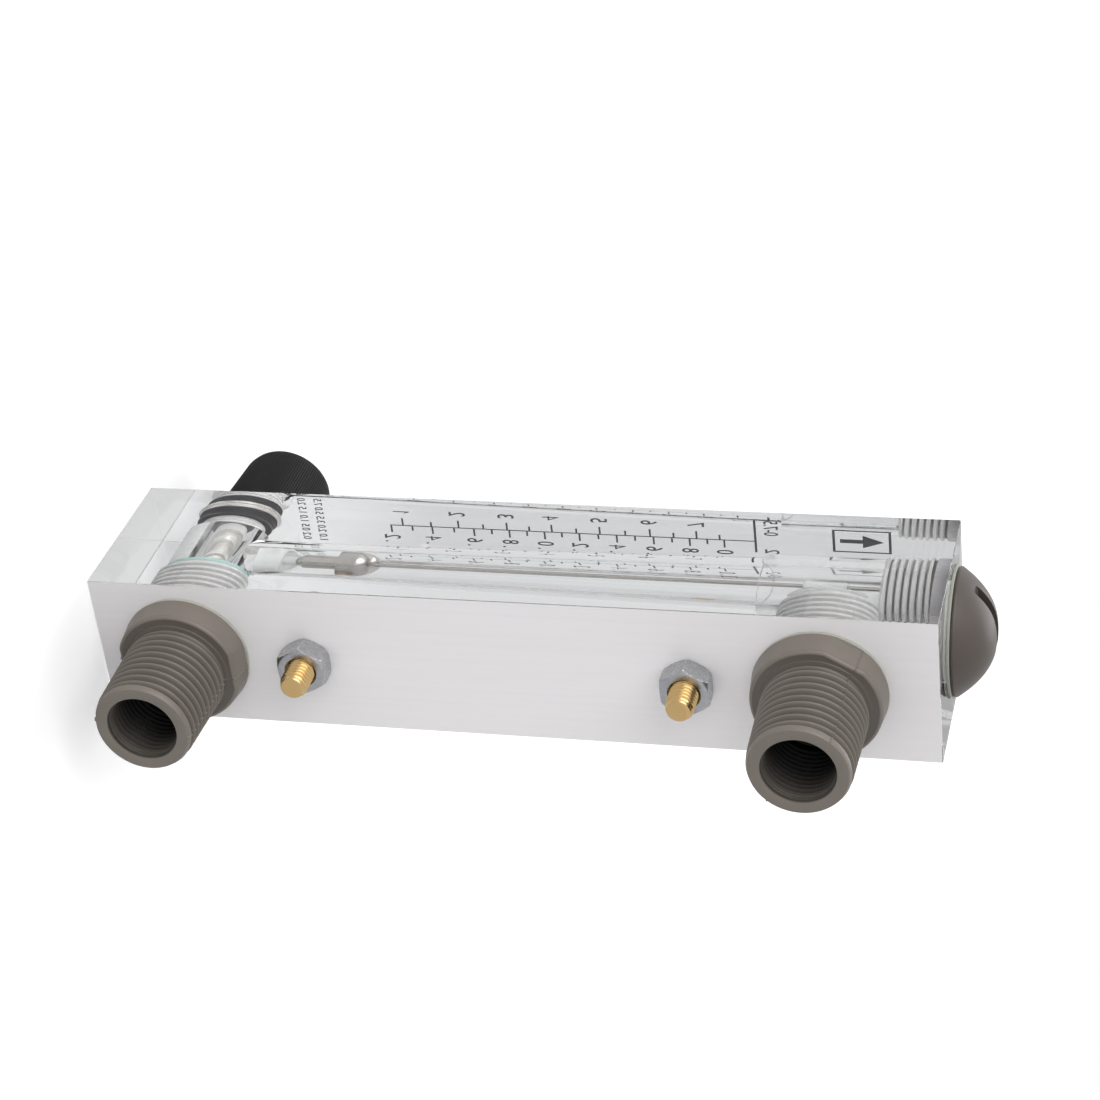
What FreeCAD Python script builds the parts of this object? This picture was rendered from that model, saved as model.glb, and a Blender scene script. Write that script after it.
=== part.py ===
import FreeCAD, Part
import math
import os
import Sketcher

# Panel rotameter: a clear acrylic block with a tapered measuring tube, a steel float on a guide
# rod, a knob valve at the inlet, two threaded fittings and two mounting studs on its back.
# Frame: origin at the middle of the block's base, +Z up along the flow, +Y out of the back.

SIZES = {
    "acrylic block": {
        "top_margin": 24, "block_width": 34, "block_depth": 38, "edge_break": 0.3,
    },
    "ports": {
        "inlet_height": 20, "port_spacing": 136, "socket_depth": 15.8, "drill_point": 5.7,
        "port_pitch_radius": 9.85, "thread_clearance": 0.05, "cut_margin": 1,
    },
    "measuring tube": {
        "tube_offset": 3.2, "tube_low_radius": 6.15, "tube_high_radius": 8.2,
        "taper_rise": 30, "chamber_drop": 15, "outlet_chamber_radius": 9.4,
    },
    "plug port": {
        "plug_port_depth": 14, "plug_floor_gap": 0.5, "plug_pitch_radius": 9.85,
        "plug_thread_length": 10, "plug_shank_radius": 10.35, "shank_clearance": 0.1,
    },
    "valve chamber": {
        "chamber_radius": 8.8, "gland_recess_radius": 9.7, "gland_recess_depth": 5.6,
    },
    "fittings": {
        "neck_radius": 11.25, "neck_length": 0.7, "flange_lip": 2.75, "flange_draft": 0.6,
        "flange_thickness": 5.8, "flat_cut": 1, "rim_fillet": 0.7, "male_length": 21.2,
        "male_crest_radius": 11.05, "male_nose_radius": 10.6, "thread_start": 0.6,
        "thread_pitch": 2, "thread_depth": 0.9, "nose_chamfer": 1.7,
        "nose_bevel_depth": 0.75, "shank_chamfer": 0.8, "female_radius": 7.3,
        "female_depth": 18, "female_runout": 1, "mouth_chamfer": 0.3,
        "way_radius": 5.5, "inlet_turn": 90, "outlet_turn": 30,
    },
    "gaskets and seat": {
        "gasket_thickness": 0.8, "gasket_inner_radius": 10.1, "gasket_inset": 0.3,
        "seat_thickness": 1, "seat_outer_radius": 9.6, "seat_hole_radius": 4.8,
        "plug_gasket_thickness": 0.6, "plug_gasket_inner_radius": 10.6,
        "plug_gasket_lip": 0.1,
    },
    "top plug": {
        "cap_radius": 14.4, "cap_rim": 1.3, "cap_height": 8.5, "slot_width": 2.6,
        "slot_depth": 3.2, "hollow_radius": 6.8, "hollow_depth": 8, "boss_radius": 2.6,
        "rod_socket_depth": 8.5, "plug_lead": 0.6,
    },
    "guide rod": {
        "rod_radius": 1, "rod_fit": 0.03, "rod_foot": 0.5, "rod_head_gap": 0.3,
    },
    "lower rod holder": {
        "holder_rise": 10.5, "holder_length": 6, "holder_radius": 6.1, "holder_wall": 1.1,
        "hub_radius": 2.2, "hub_length": 7.9, "spoke_width": 1, "spoke_length": 4.5,
        "spoke_bite": 0.4, "float_rest_gap": 0.1,
    },
    "upper float stop": {
        "stop_drop": 7, "stop_radius": 2.4, "stop_length": 9, "stop_chamfer": 0.4,
    },
    "float": {
        "float_bore": 1.08, "tail_tip_radius": 1.9, "tail_radius": 3, "tail_taper": 1.8,
        "tail_length": 8.6, "head_radius": 5.85, "head_length": 4.7, "dome_length": 4.7,
        "dome_radius": 6.5, "dome_top_radius": 1.7,
    },
    "valve gland": {
        "gland_length": 9.2, "gland_thread_radius": 8.75, "gland_thread_length": 4,
        "groove_width": 3.6, "groove_floor": 6.1, "collar_radius": 9.6,
        "gland_flange_radius": 10.8, "gland_flange_thickness": 1.8, "gland_hex": 16,
        "gland_hex_length": 4.2, "spindle_fit": 0.05, "seal_groove_start": 4,
        "seal_groove_width": 1.7, "seal_groove_radius": 5.55,
    },
    "o-rings": {
        "gland_ring_radius": 7.9, "gland_ring_cord": 1.75, "spindle_ring_radius": 4.81,
        "spindle_ring_cord": 0.72, "tip_ring_radius": 4.5, "tip_ring_cord": 1.1,
    },
    "valve stem": {
        "nose_radius": 4.4, "nose_reach": 0.8, "nose_bevel": 0.4, "seat_gap": 0.05,
        "tip_floor_radius": 3.35, "ring_radius": 5.6, "ring_length": 1.3, "waist_radius": 4.6,
        "waist_length": 1, "spindle_radius": 4, "spigot_radius": 3, "spigot_fit": 0.04,
        "spigot_end_gap": 0.1, "screw_hole_depth": 9, "knob_gap": 1.3,
    },
    "knob": {
        "knob_reach": 29, "knob_back_radius": 11.4, "knob_front_radius": 10.5,
        "knob_edge": 0.8, "skirt_radius": 8.6, "skirt_depth": 3, "recess_radius": 6.5,
        "recess_depth": 4.2, "knob_web": 1.4, "screw_radius": 1.5, "screw_pitch_radius": 1.34,
        "screw_length": 9.5, "screw_lead": 0.4, "screw_hole_fit": 0.15,
        "screw_head_radius": 2.8, "screw_head_length": 1.9, "screw_head_edge": 0.5,
        "screw_slot": 0.7, "cap_disc_radius": 6.42, "cap_disc_thickness": 1.8,
        "cap_disc_edge": 0.4,
    },
    "studs and nuts": {
        "stud_inset": 27, "stud_radius": 3, "stud_pitch_radius": 2.65,
        "stud_depth": 9, "stud_floor_gap": 0.5, "stud_lead": 0.5, "stud_reach": 10.8,
        "stud_bevel": 0.8, "nut_across_flats": 10,
        "nut_thickness": 5, "nut_bevel_radius": 4.75, "nut_bevel_rise": 0.55,
    },
}

document = FreeCAD.newDocument("rotameter")
sheet = document.addObject("Spreadsheet::Sheet", "Sizes")


class Length:
    """A size with its formula, so that a feature gets both its value and its expression."""

    def __init__(self, value, formula):
        self.value = value
        self.formula = formula

    def joined(self, other, sign, value):
        return Length(value, f"({self.formula} {sign} {formula_of(other)})")

    def __add__(self, other):
        return self.joined(other, "+", self.value + value_of(other))

    def __sub__(self, other):
        return self.joined(other, "-", self.value - value_of(other))

    def __mul__(self, other):
        return self.joined(other, "*", self.value * value_of(other))

    def __truediv__(self, other):
        return self.joined(other, "/", self.value / value_of(other))

    def __neg__(self):
        return Length(-self.value, f"(-1 * {self.formula})")


def value_of(size):
    return size.value if isinstance(size, Length) else size


def formula_of(size):
    return size.formula if isinstance(size, Length) else repr(size)


def fill_sheet():
    """One row for each size, below the name of its group, and the sizes by name."""
    lengths = {}
    row = 1
    for group, sizes in SIZES.items():
        sheet.set(f"A{row}", group)
        row += 1
        for name, value in sizes.items():
            sheet.set(f"A{row}", name)
            sheet.set(f"B{row}", str(value))
            sheet.setAlias(f"B{row}", name)
            lengths[name] = Length(value, f"Sizes.{name}")
            row += 1
    document.recompute()
    return lengths


size = fill_sheet()
ZERO = Length(0, "0")


# Directions in which a sub-part's own Z axis can point

UP = FreeCAD.Rotation(0, 0, 0, 1)
BACKWARD = FreeCAD.Rotation(FreeCAD.Vector(1, 0, 0), -90)
FORWARD = FreeCAD.Rotation(FreeCAD.Vector(1, 0, 0), 90)


def bind(item, prop, length):
    """Sets a property to a size and ties it to the sheet."""
    item.setExpression(prop, formula_of(length))


def place(item, x=ZERO, y=ZERO, z=ZERO, rotation=UP):
    item.Placement = FreeCAD.Placement(FreeCAD.Vector(x.value, y.value, z.value), rotation)
    for axis, length in (("x", x), ("y", y), ("z", z)):
        if length.formula != "0":
            bind(item, f"Placement.Base.{axis}", length)


def new_body(label):
    body = document.addObject("PartDesign::Body", label)
    body.Label = label
    return body


def new_sketch(body, plane, name, lift=None):
    """An empty sketch on one of the body's origin planes, or lifted off it along its normal."""
    sketch = body.newObject("Sketcher::SketchObject", name)
    support = [part for part in body.Origin.OriginFeatures if part.Role == plane][0]
    sketch.AttachmentSupport = [(support, "")]
    sketch.MapMode = "FlatFace"
    if lift is not None:
        bind(sketch, "AttachmentOffset.Base.z", lift)
    return sketch


def fix_point(sketch, geometry, end, across, along):
    """Ties one end of a line to two sizes, measured from the sketch's origin."""
    for kind, length, axis in (("DistanceX", across, -2), ("DistanceY", along, -1)):
        if length.formula == "0":
            sketch.addConstraint(Sketcher.Constraint("PointOnObject", geometry, end, axis))
            continue
        if length.value >= 0:
            rule = Sketcher.Constraint(kind, -1, 1, geometry, end, length.value)
        else:
            rule = Sketcher.Constraint(kind, geometry, end, -1, 1, -length.value)
            length = -length
        index = sketch.addConstraint(rule)
        bind(sketch, f"Constraints[{index}]", length)


def arc_through(start, end, radius):
    """The short arc of that radius between two points, turning left as it goes."""
    chord = end - start
    middle = (start + end) / 2
    rise = math.sqrt(radius ** 2 - (chord.Length / 2) ** 2)
    left = FreeCAD.Vector(-chord.y, chord.x, 0).normalize()
    centre = middle + left * rise
    first = math.atan2(start.y - centre.y, start.x - centre.x)
    last = math.atan2(end.y - centre.y, end.x - centre.x)
    circle = Part.Circle(centre, FreeCAD.Vector(0, 0, 1), radius)
    return Part.ArcOfCircle(circle, first, last)


def draw_outline(sketch, points):
    """A closed outline of (across, along) points, each tied to the sheet.

    A third value gives the radius of the arc that ends at that point.
    """
    first_line = sketch.GeometryCount
    count = len(points)
    ends = [FreeCAD.Vector(point[0].value, point[1].value, 0) for point in points]
    for index in range(count):
        start, end = ends[index], ends[(index + 1) % count]
        target = points[(index + 1) % count]
        if len(target) == 3:
            sketch.addGeometry(arc_through(start, end, target[2].value))
        else:
            sketch.addGeometry(Part.LineSegment(start, end))
    for index in range(count):
        line = first_line + index
        after = first_line + (index + 1) % count
        sketch.addConstraint(Sketcher.Constraint("Coincident", line, 2, after, 1))
        fix_point(sketch, line, 1, points[index][0], points[index][1])
        target = points[(index + 1) % count]
        if len(target) == 3:
            rule = Sketcher.Constraint("Radius", line, target[2].value)
            bind(sketch, f"Constraints[{sketch.addConstraint(rule)}]", target[2])


def draw_circle(sketch, across, along, radius):
    circle = Part.Circle(
        FreeCAD.Vector(across.value, along.value, 0), FreeCAD.Vector(0, 0, 1), radius.value
    )
    index = sketch.addGeometry(circle)
    fix_point(sketch, index, 3, across, along)
    rule = sketch.addConstraint(Sketcher.Constraint("Radius", index, radius.value))
    bind(sketch, f"Constraints[{rule}]", radius)


def rectangle(left, right, low, high):
    return [(left, low), (right, low), (right, high), (left, high)]


def add_revolution(body, points, name="Turned"):
    """Turns an outline of (radius, height) points about the body's own Z axis."""
    sketch = new_sketch(body, "XZ_Plane", name + "Profile")
    draw_outline(sketch, points)
    feature = body.newObject("PartDesign::Revolution", name)
    feature.Profile = sketch
    feature.ReferenceAxis = (sketch, ["V_Axis"])
    feature.Angle = 360
    sketch.Visibility = False
    document.recompute()
    return feature


def turned(label, points):
    body = new_body(label)
    add_revolution(body, points)
    return body


def add_pad(body, sketch, length, name="Pad"):
    feature = body.newObject("PartDesign::Pad", name)
    feature.Profile = sketch
    bind(feature, "Length", length)
    document.recompute()
    return feature


def checked_cut(body, feature, before):
    """A cut that points away from the solid removes nothing and shows no error."""
    document.recompute()
    if body.Shape.Volume > before - 1e-6:
        raise RuntimeError(f"{feature.Label} of {body.Label} removes nothing")
    return feature


def add_pocket(body, sketch, depth, name="Pocket", upward=True):
    before = body.Shape.Volume
    feature = body.newObject("PartDesign::Pocket", name)
    feature.Profile = sketch
    feature.Reversed = upward
    bind(feature, "Length", depth)
    return checked_cut(body, feature, before)


def add_groove(body, plane, points, axis_start, axis_end, name):
    """Cuts an outline turned about a construction line from one point to another."""
    before = body.Shape.Volume
    sketch = new_sketch(body, plane, name + "Profile")
    draw_outline(sketch, points)
    ends = [FreeCAD.Vector(end[0].value, end[1].value, 0) for end in (axis_start, axis_end)]
    line = sketch.addGeometry(Part.LineSegment(*ends), True)
    fix_point(sketch, line, 1, *axis_start)
    fix_point(sketch, line, 2, *axis_end)
    feature = body.newObject("PartDesign::Groove", name)
    feature.Profile = sketch
    feature.ReferenceAxis = (sketch, ["Axis0"])
    feature.Angle = 360
    return checked_cut(body, feature, before)


def edges_where(shape, wanted):
    """Names of the edges whose every sampled point passes the test."""
    names = []
    for number, edge in enumerate(shape.Edges, 1):
        if all(wanted(point) for point in edge.discretize(5)):
            names.append(f"Edge{number}")
    return names


def add_edge_finish(body, kind, amount, wanted):
    """A Fillet or Chamfer on the edges that pass the test."""
    names = edges_where(body.Shape, wanted)
    if not names:
        raise RuntimeError(f"no edge to finish on {body.Label}")
    finished = body.Tip
    feature = body.newObject("PartDesign::" + kind, kind)
    feature.Base = (finished, names)
    bind(feature, "Radius" if kind == "Fillet" else "Size", amount)
    document.recompute()
    return feature


def hexagon(across_flats):
    """Corner points of a hexagon with two corners on the X axis."""
    corner = across_flats / math.sqrt(3)
    half, flat = corner / 2, across_flats / 2
    return [
        (corner, ZERO), (half, flat), (-half, flat),
        (-corner, ZERO), (-half, -flat), (half, -flat),
    ]


def ring(label, radius, cord):
    """An O-ring about its own Z axis."""
    torus = document.addObject("Part::Torus", label)
    torus.Label = label
    bind(torus, "Radius1", radius)
    bind(torus, "Radius2", cord)
    return torus


def washer(label, inner, outer, thickness):
    return turned(
        label, [(inner, ZERO), (outer, ZERO), (outer, thickness), (inner, thickness)]
    )


# Places that several sub-parts share

back_face = size["block_depth"] / 2
front_face = -back_face
outlet_height = size["inlet_height"] + size["port_spacing"]
block_length = outlet_height + size["top_margin"]
socket_floor = back_face - size["socket_depth"]
socket_radius = size["port_pitch_radius"] + size["thread_clearance"]
fitting_end = socket_floor + size["seat_thickness"]
gland_end = front_face + size["gland_length"]
rod_hole = size["rod_radius"] + size["rod_fit"]
plug_engaged = size["plug_port_depth"] - size["plug_floor_gap"]
plug_end = block_length - plug_engaged
holder_height = size["inlet_height"] + size["holder_rise"]
hub_top = holder_height + size["hub_length"]
float_height = hub_top + size["float_rest_gap"]
lower_stud_height = size["inlet_height"] + size["stud_inset"]
upper_stud_height = outlet_height - size["stud_inset"]
flange_radius = size["neck_radius"] + size["flange_lip"]
gland_head = size["gland_flange_thickness"] + size["gland_hex_length"]
knob_back = front_face - gland_head - size["knob_gap"]
knob_front = front_face - size["knob_reach"]
recess_floor = knob_back - knob_front - size["recess_depth"]
spigot_length = recess_floor - size["knob_web"] - size["spigot_end_gap"] - size["skirt_depth"]


def make_acrylic_body():
    """The block with its tube, valve chamber, port sockets, plug port and stud holes."""
    body = new_body("acrylic_body")
    half_width = size["block_width"] / 2
    outline = new_sketch(body, "XY_Plane", "BlockOutline")
    draw_outline(outline, rectangle(-half_width, half_width, front_face, back_face))
    add_pad(body, outline, block_length, "Block")
    add_edge_finish(body, "Chamfer", size["edge_break"], lambda point: True)

    # the tube narrows towards the valve chamber, and opens into the outlet chamber at its top
    axis = -size["tube_offset"]
    top = block_length
    taper_start = size["inlet_height"] + size["taper_rise"]
    tube_top = outlet_height - size["chamber_drop"]
    thread_radius = size["plug_pitch_radius"] + size["thread_clearance"]
    mouth_radius = size["plug_shank_radius"] + size["shank_clearance"]
    mouth = top - plug_engaged + size["plug_thread_length"]
    port_floor = top - size["plug_port_depth"]
    tube = [
        (axis, size["inlet_height"]),
        (axis + size["tube_low_radius"], size["inlet_height"]),
        (axis + size["tube_low_radius"], taper_start),
        (axis + size["tube_high_radius"], tube_top),
        (axis + size["outlet_chamber_radius"], tube_top),
        (axis + size["outlet_chamber_radius"], port_floor),
        (axis + thread_radius, port_floor),
        (axis + thread_radius, mouth),
        (axis + mouth_radius, mouth),
        (axis + mouth_radius, top),
        (axis, top),
    ]
    add_groove(body, "YZ_Plane", tube, (axis, ZERO), (axis, top), "Tube")

    # the inlet socket, the seat's shoulder, the valve chamber and the gland's recess
    level = size["inlet_height"]
    recess = front_face + size["gland_recess_depth"]
    valve = [
        (back_face, level),
        (back_face, level + socket_radius),
        (socket_floor, level + socket_radius),
        (socket_floor, level + size["chamber_radius"]),
        (recess, level + size["chamber_radius"]),
        (recess, level + size["gland_recess_radius"]),
        (front_face, level + size["gland_recess_radius"]),
        (front_face, level),
    ]
    add_groove(body, "YZ_Plane", valve, (front_face, level), (back_face, level), "Valve")

    # the outlet socket keeps the cone that its drill left
    outlet = [
        (back_face, outlet_height),
        (back_face, outlet_height + socket_radius),
        (socket_floor, outlet_height + socket_radius),
        (socket_floor - size["drill_point"], outlet_height),
    ]
    ends = (socket_floor, outlet_height), (back_face, outlet_height)
    add_groove(body, "YZ_Plane", outlet, *ends, "Outlet")

    # two blind holes for the mounting studs, one above the other
    stud_hole = size["stud_pitch_radius"] + size["thread_clearance"]
    depth = size["stud_depth"] + size["stud_floor_gap"]
    for height, name in ((lower_stud_height, "LowerStud"), (upper_stud_height, "UpperStud")):
        hole = [
            (back_face, height),
            (back_face, height + stud_hole),
            (back_face - depth, height + stud_hole),
            (back_face - depth, height),
        ]
        ends = (back_face - depth, height), (back_face, height)
        add_groove(body, "YZ_Plane", hole, *ends, name + "Hole")


def make_fitting(label, height, turn):
    """A moulded nipple: a plain shank in the block, a flange with two flats, a taper thread.

    The thread's ridges are rings, each a pitch from the last, on a line down to the nose.
    """
    engaged = size["socket_depth"] - size["seat_thickness"] + size["gasket_thickness"]
    flange_front = engaged + size["flange_thickness"]
    neck_end = flange_front + size["neck_length"]
    nose = flange_front + size["male_length"]
    shank = size["port_pitch_radius"]
    chamfer = size["shank_chamfer"]
    first_ridge = neck_end + size["thread_start"]
    land = nose - size["nose_chamfer"]
    steps = int((land - first_ridge).value / size["thread_pitch"].value + 1e-6)
    narrowing = (size["male_crest_radius"] - size["male_nose_radius"]) / steps
    ridges = [(size["male_crest_radius"], first_ridge)]
    for step in range(1, steps + 1):
        crest = size["male_crest_radius"] - narrowing * step
        root = first_ridge + size["thread_pitch"] * (step - 0.5)
        ridges.append((crest - size["thread_depth"], root))
        ridges.append((crest, first_ridge + size["thread_pitch"] * step))
    body = turned(label, [
        (size["way_radius"], ZERO),
        (shank - chamfer, ZERO),
        (shank, chamfer),
        (shank, engaged),
        (flange_radius, engaged),
        (flange_radius - size["flange_draft"], flange_front),
        (size["neck_radius"], flange_front),
        (size["neck_radius"], neck_end),
        *ridges,
        (size["male_nose_radius"], land),
        (size["male_nose_radius"] - size["nose_bevel_depth"], nose),
        (size["female_radius"] + size["mouth_chamfer"], nose),
        (size["female_radius"], nose - size["mouth_chamfer"]),
        (size["female_radius"], nose - size["female_depth"]),
        (size["way_radius"], nose - size["female_depth"] - size["female_runout"]),
    ])
    flats = new_sketch(body, "XY_Plane", "Flats", lift=engaged)
    beyond = flange_radius + size["cut_margin"]
    flat_distance = flange_radius - size["flat_cut"]
    for side in (1, -1):
        near, far = flat_distance * side, beyond * side
        draw_outline(flats, rectangle(near, far, -beyond, beyond))
    add_pocket(body, flats, size["flange_thickness"], "Flats")
    front = flange_front.value
    face_middle = (size["neck_radius"].value + flat_distance.value) / 2

    def on_front_rim(point):
        return abs(point.z - front) < 1e-4 and math.hypot(point.x, point.y) > face_middle

    add_edge_finish(body, "Fillet", size["rim_fillet"], on_front_rim)
    spin = FreeCAD.Rotation(FreeCAD.Vector(0, 0, 1), -turn.value)
    place(body, y=fitting_end, z=height, rotation=BACKWARD * spin)


def make_top_plug():
    """A domed cap with a slot, a threaded hollow shank and a boss that holds the rod."""
    cap_low = plug_engaged + size["plug_gasket_thickness"]
    cap_top = cap_low + size["cap_height"]
    rim_top = cap_low + size["cap_rim"]
    thread_end = size["plug_thread_length"]
    rise = size["cap_height"] - size["cap_rim"]
    dome_radius = (size["cap_radius"] * size["cap_radius"] + rise * rise) / (rise * 2)
    lead = size["plug_lead"]
    body = turned("top_plug", [
        (size["hollow_radius"], ZERO),
        (size["plug_pitch_radius"] - lead, ZERO),
        (size["plug_pitch_radius"], lead),
        (size["plug_pitch_radius"], thread_end),
        (size["plug_shank_radius"], thread_end),
        (size["plug_shank_radius"], cap_low),
        (size["cap_radius"], cap_low),
        (size["cap_radius"], rim_top),
        (ZERO, cap_top, dome_radius),
        (ZERO, size["rod_socket_depth"]),
        (rod_hole, size["rod_socket_depth"]),
        (rod_hole, ZERO),
        (size["boss_radius"], ZERO),
        (size["boss_radius"], size["hollow_depth"]),
        (size["hollow_radius"], size["hollow_depth"]),
    ])
    slot = new_sketch(body, "XY_Plane", "Slot", lift=cap_top)
    half, reach = size["slot_width"] / 2, size["cap_radius"] + size["cut_margin"]
    draw_outline(slot, rectangle(-reach, reach, -half, half))
    add_pocket(body, slot, size["slot_depth"], "Slot", upward=False)
    place(body, y=-size["tube_offset"], z=plug_end)


def make_float():
    """The turned steel float: a tail, a cylinder and a dome, bored to run on the rod."""
    shoulder = size["tail_length"]
    rim = shoulder + size["head_length"]
    top = rim + size["dome_length"]
    body = turned("float", [
        (size["float_bore"], ZERO),
        (size["tail_tip_radius"], ZERO),
        (size["tail_radius"], size["tail_taper"]),
        (size["tail_radius"], shoulder),
        (size["head_radius"], shoulder),
        (size["head_radius"], rim),
        (size["dome_top_radius"], top, size["dome_radius"]),
        (size["float_bore"], top),
    ])
    place(body, y=-size["tube_offset"], z=float_height)


def make_guide_parts():
    """The rod, the spoked holder at its foot and the collar that stops the float."""
    axis = -size["tube_offset"]
    rod_start = holder_height + size["rod_foot"]
    rod_end = plug_end + size["rod_socket_depth"] - size["rod_head_gap"]
    rod = document.addObject("Part::Cylinder", "guide_rod")
    rod.Label = "guide_rod"
    bind(rod, "Radius", size["rod_radius"])
    bind(rod, "Height", rod_end - rod_start)
    place(rod, y=axis, z=rod_start)

    outer, inner = size["holder_radius"], size["holder_radius"] - size["holder_wall"]
    holder = turned("lower_rod_holder", rectangle(inner, outer, ZERO, size["holder_length"]))
    spoke = new_sketch(holder, "XY_Plane", "SpokeOutline", lift=size["rod_foot"])
    half = size["spoke_width"] / 2
    bite = size["spoke_bite"]
    draw_outline(spoke, rectangle(size["hub_radius"] - bite, inner + bite, -half, half))
    arm = add_pad(holder, spoke, size["spoke_length"], "Spoke")
    spokes = holder.newObject("PartDesign::PolarPattern", "Spokes")
    spokes.Originals = [arm]
    spokes.Axis = (spoke, ["N_Axis"])
    spokes.Angle = 360
    spokes.Occurrences = 3
    holder.Tip = spokes
    document.recompute()
    hub_points = rectangle(rod_hole, size["hub_radius"], ZERO, size["hub_length"])
    add_revolution(holder, hub_points, "Hub")
    place(holder, y=axis, z=holder_height)

    bevel = size["stop_chamfer"]
    stop = turned("upper_float_stop", [
        (rod_hole, ZERO),
        (size["stop_radius"] - bevel, ZERO),
        (size["stop_radius"], bevel),
        (size["stop_radius"], size["stop_length"] - bevel),
        (size["stop_radius"] - bevel, size["stop_length"]),
        (rod_hole, size["stop_length"]),
    ])
    place(stop, y=axis, z=outlet_height - size["stop_drop"])


def make_gland():
    """The turned gland that closes the valve chamber and guides the spindle."""
    bore = size["spindle_radius"] + size["spindle_fit"]
    groove_start = size["gland_thread_length"]
    groove_end = groove_start + size["groove_width"]
    face = size["gland_length"]
    flange_end = face + size["gland_flange_thickness"]
    seal_end = size["seal_groove_start"] + size["seal_groove_width"]
    body = turned("valve_gland", [
        (bore, ZERO),
        (size["gland_thread_radius"], ZERO),
        (size["gland_thread_radius"], groove_start),
        (size["groove_floor"], groove_start),
        (size["groove_floor"], groove_end),
        (size["collar_radius"], groove_end),
        (size["collar_radius"], face),
        (size["gland_flange_radius"], face),
        (size["gland_flange_radius"], flange_end),
        (bore, flange_end),
        (bore, seal_end),
        (size["seal_groove_radius"], seal_end),
        (size["seal_groove_radius"], size["seal_groove_start"]),
        (bore, size["seal_groove_start"]),
    ])
    nut = new_sketch(body, "XY_Plane", "HexOutline", lift=flange_end)
    draw_outline(nut, hexagon(size["gland_hex"]))
    draw_circle(nut, ZERO, ZERO, bore)
    add_pad(body, nut, size["gland_hex_length"], "Hex")
    place(body, y=gland_end, z=size["inlet_height"], rotation=FORWARD)


def make_orings():
    """The gland's seal in the block, the spindle's seal in the gland and the tip's seal."""
    gland_ring = ring("gland_oring", size["gland_ring_radius"], size["gland_ring_cord"])
    centre = size["gland_thread_length"] + size["groove_width"] / 2
    place(gland_ring, y=gland_end - centre, z=size["inlet_height"], rotation=FORWARD)
    spindle_ring = ring("spindle_seal", size["spindle_ring_radius"], size["spindle_ring_cord"])
    centre = size["seal_groove_start"] + size["seal_groove_width"] / 2
    place(spindle_ring, y=gland_end - centre, z=size["inlet_height"], rotation=FORWARD)
    tip_ring = ring("tip_oring", size["tip_ring_radius"], size["tip_ring_cord"])
    place(tip_ring, y=tip_ring_place, z=size["inlet_height"], rotation=FORWARD)


tip_ring_place = socket_floor - size["seat_gap"] - size["tip_ring_cord"]
stem_tip = socket_floor + size["nose_reach"]


def make_stem():
    """The turned spindle: a nose, a groove for the tip's seal, three rings and a knob spigot."""
    nose_back = size["nose_reach"] + size["seat_gap"]
    groove_end = nose_back + size["tip_ring_cord"] * 2
    step = size["ring_length"] + size["waist_length"]
    rings_end = groove_end + step * 2 + size["ring_length"]
    spindle_end = stem_tip - knob_back
    spigot_end = spindle_end + size["skirt_depth"] + spigot_length
    screw_hole = size["screw_pitch_radius"] + size["thread_clearance"]
    points = [
        (ZERO, ZERO),
        (size["nose_radius"] - size["nose_bevel"], ZERO),
        (size["nose_radius"], size["nose_bevel"]),
        (size["nose_radius"], nose_back),
        (size["tip_floor_radius"], nose_back),
        (size["tip_floor_radius"], groove_end),
    ]
    for number in range(3):
        start = groove_end + step * number
        points.append((size["ring_radius"], start))
        points.append((size["ring_radius"], start + size["ring_length"]))
        if number < 2:
            points.append((size["waist_radius"], start + size["ring_length"]))
            points.append((size["waist_radius"], start + step))
    points += [
        (size["spindle_radius"], rings_end),
        (size["spindle_radius"], spindle_end),
        (size["spigot_radius"], spindle_end),
        (size["spigot_radius"], spigot_end),
        (screw_hole, spigot_end),
        (screw_hole, spigot_end - size["screw_hole_depth"]),
        (ZERO, spigot_end - size["screw_hole_depth"]),
    ]
    place(turned("valve_stem", points), y=stem_tip, z=size["inlet_height"], rotation=FORWARD)


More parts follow.
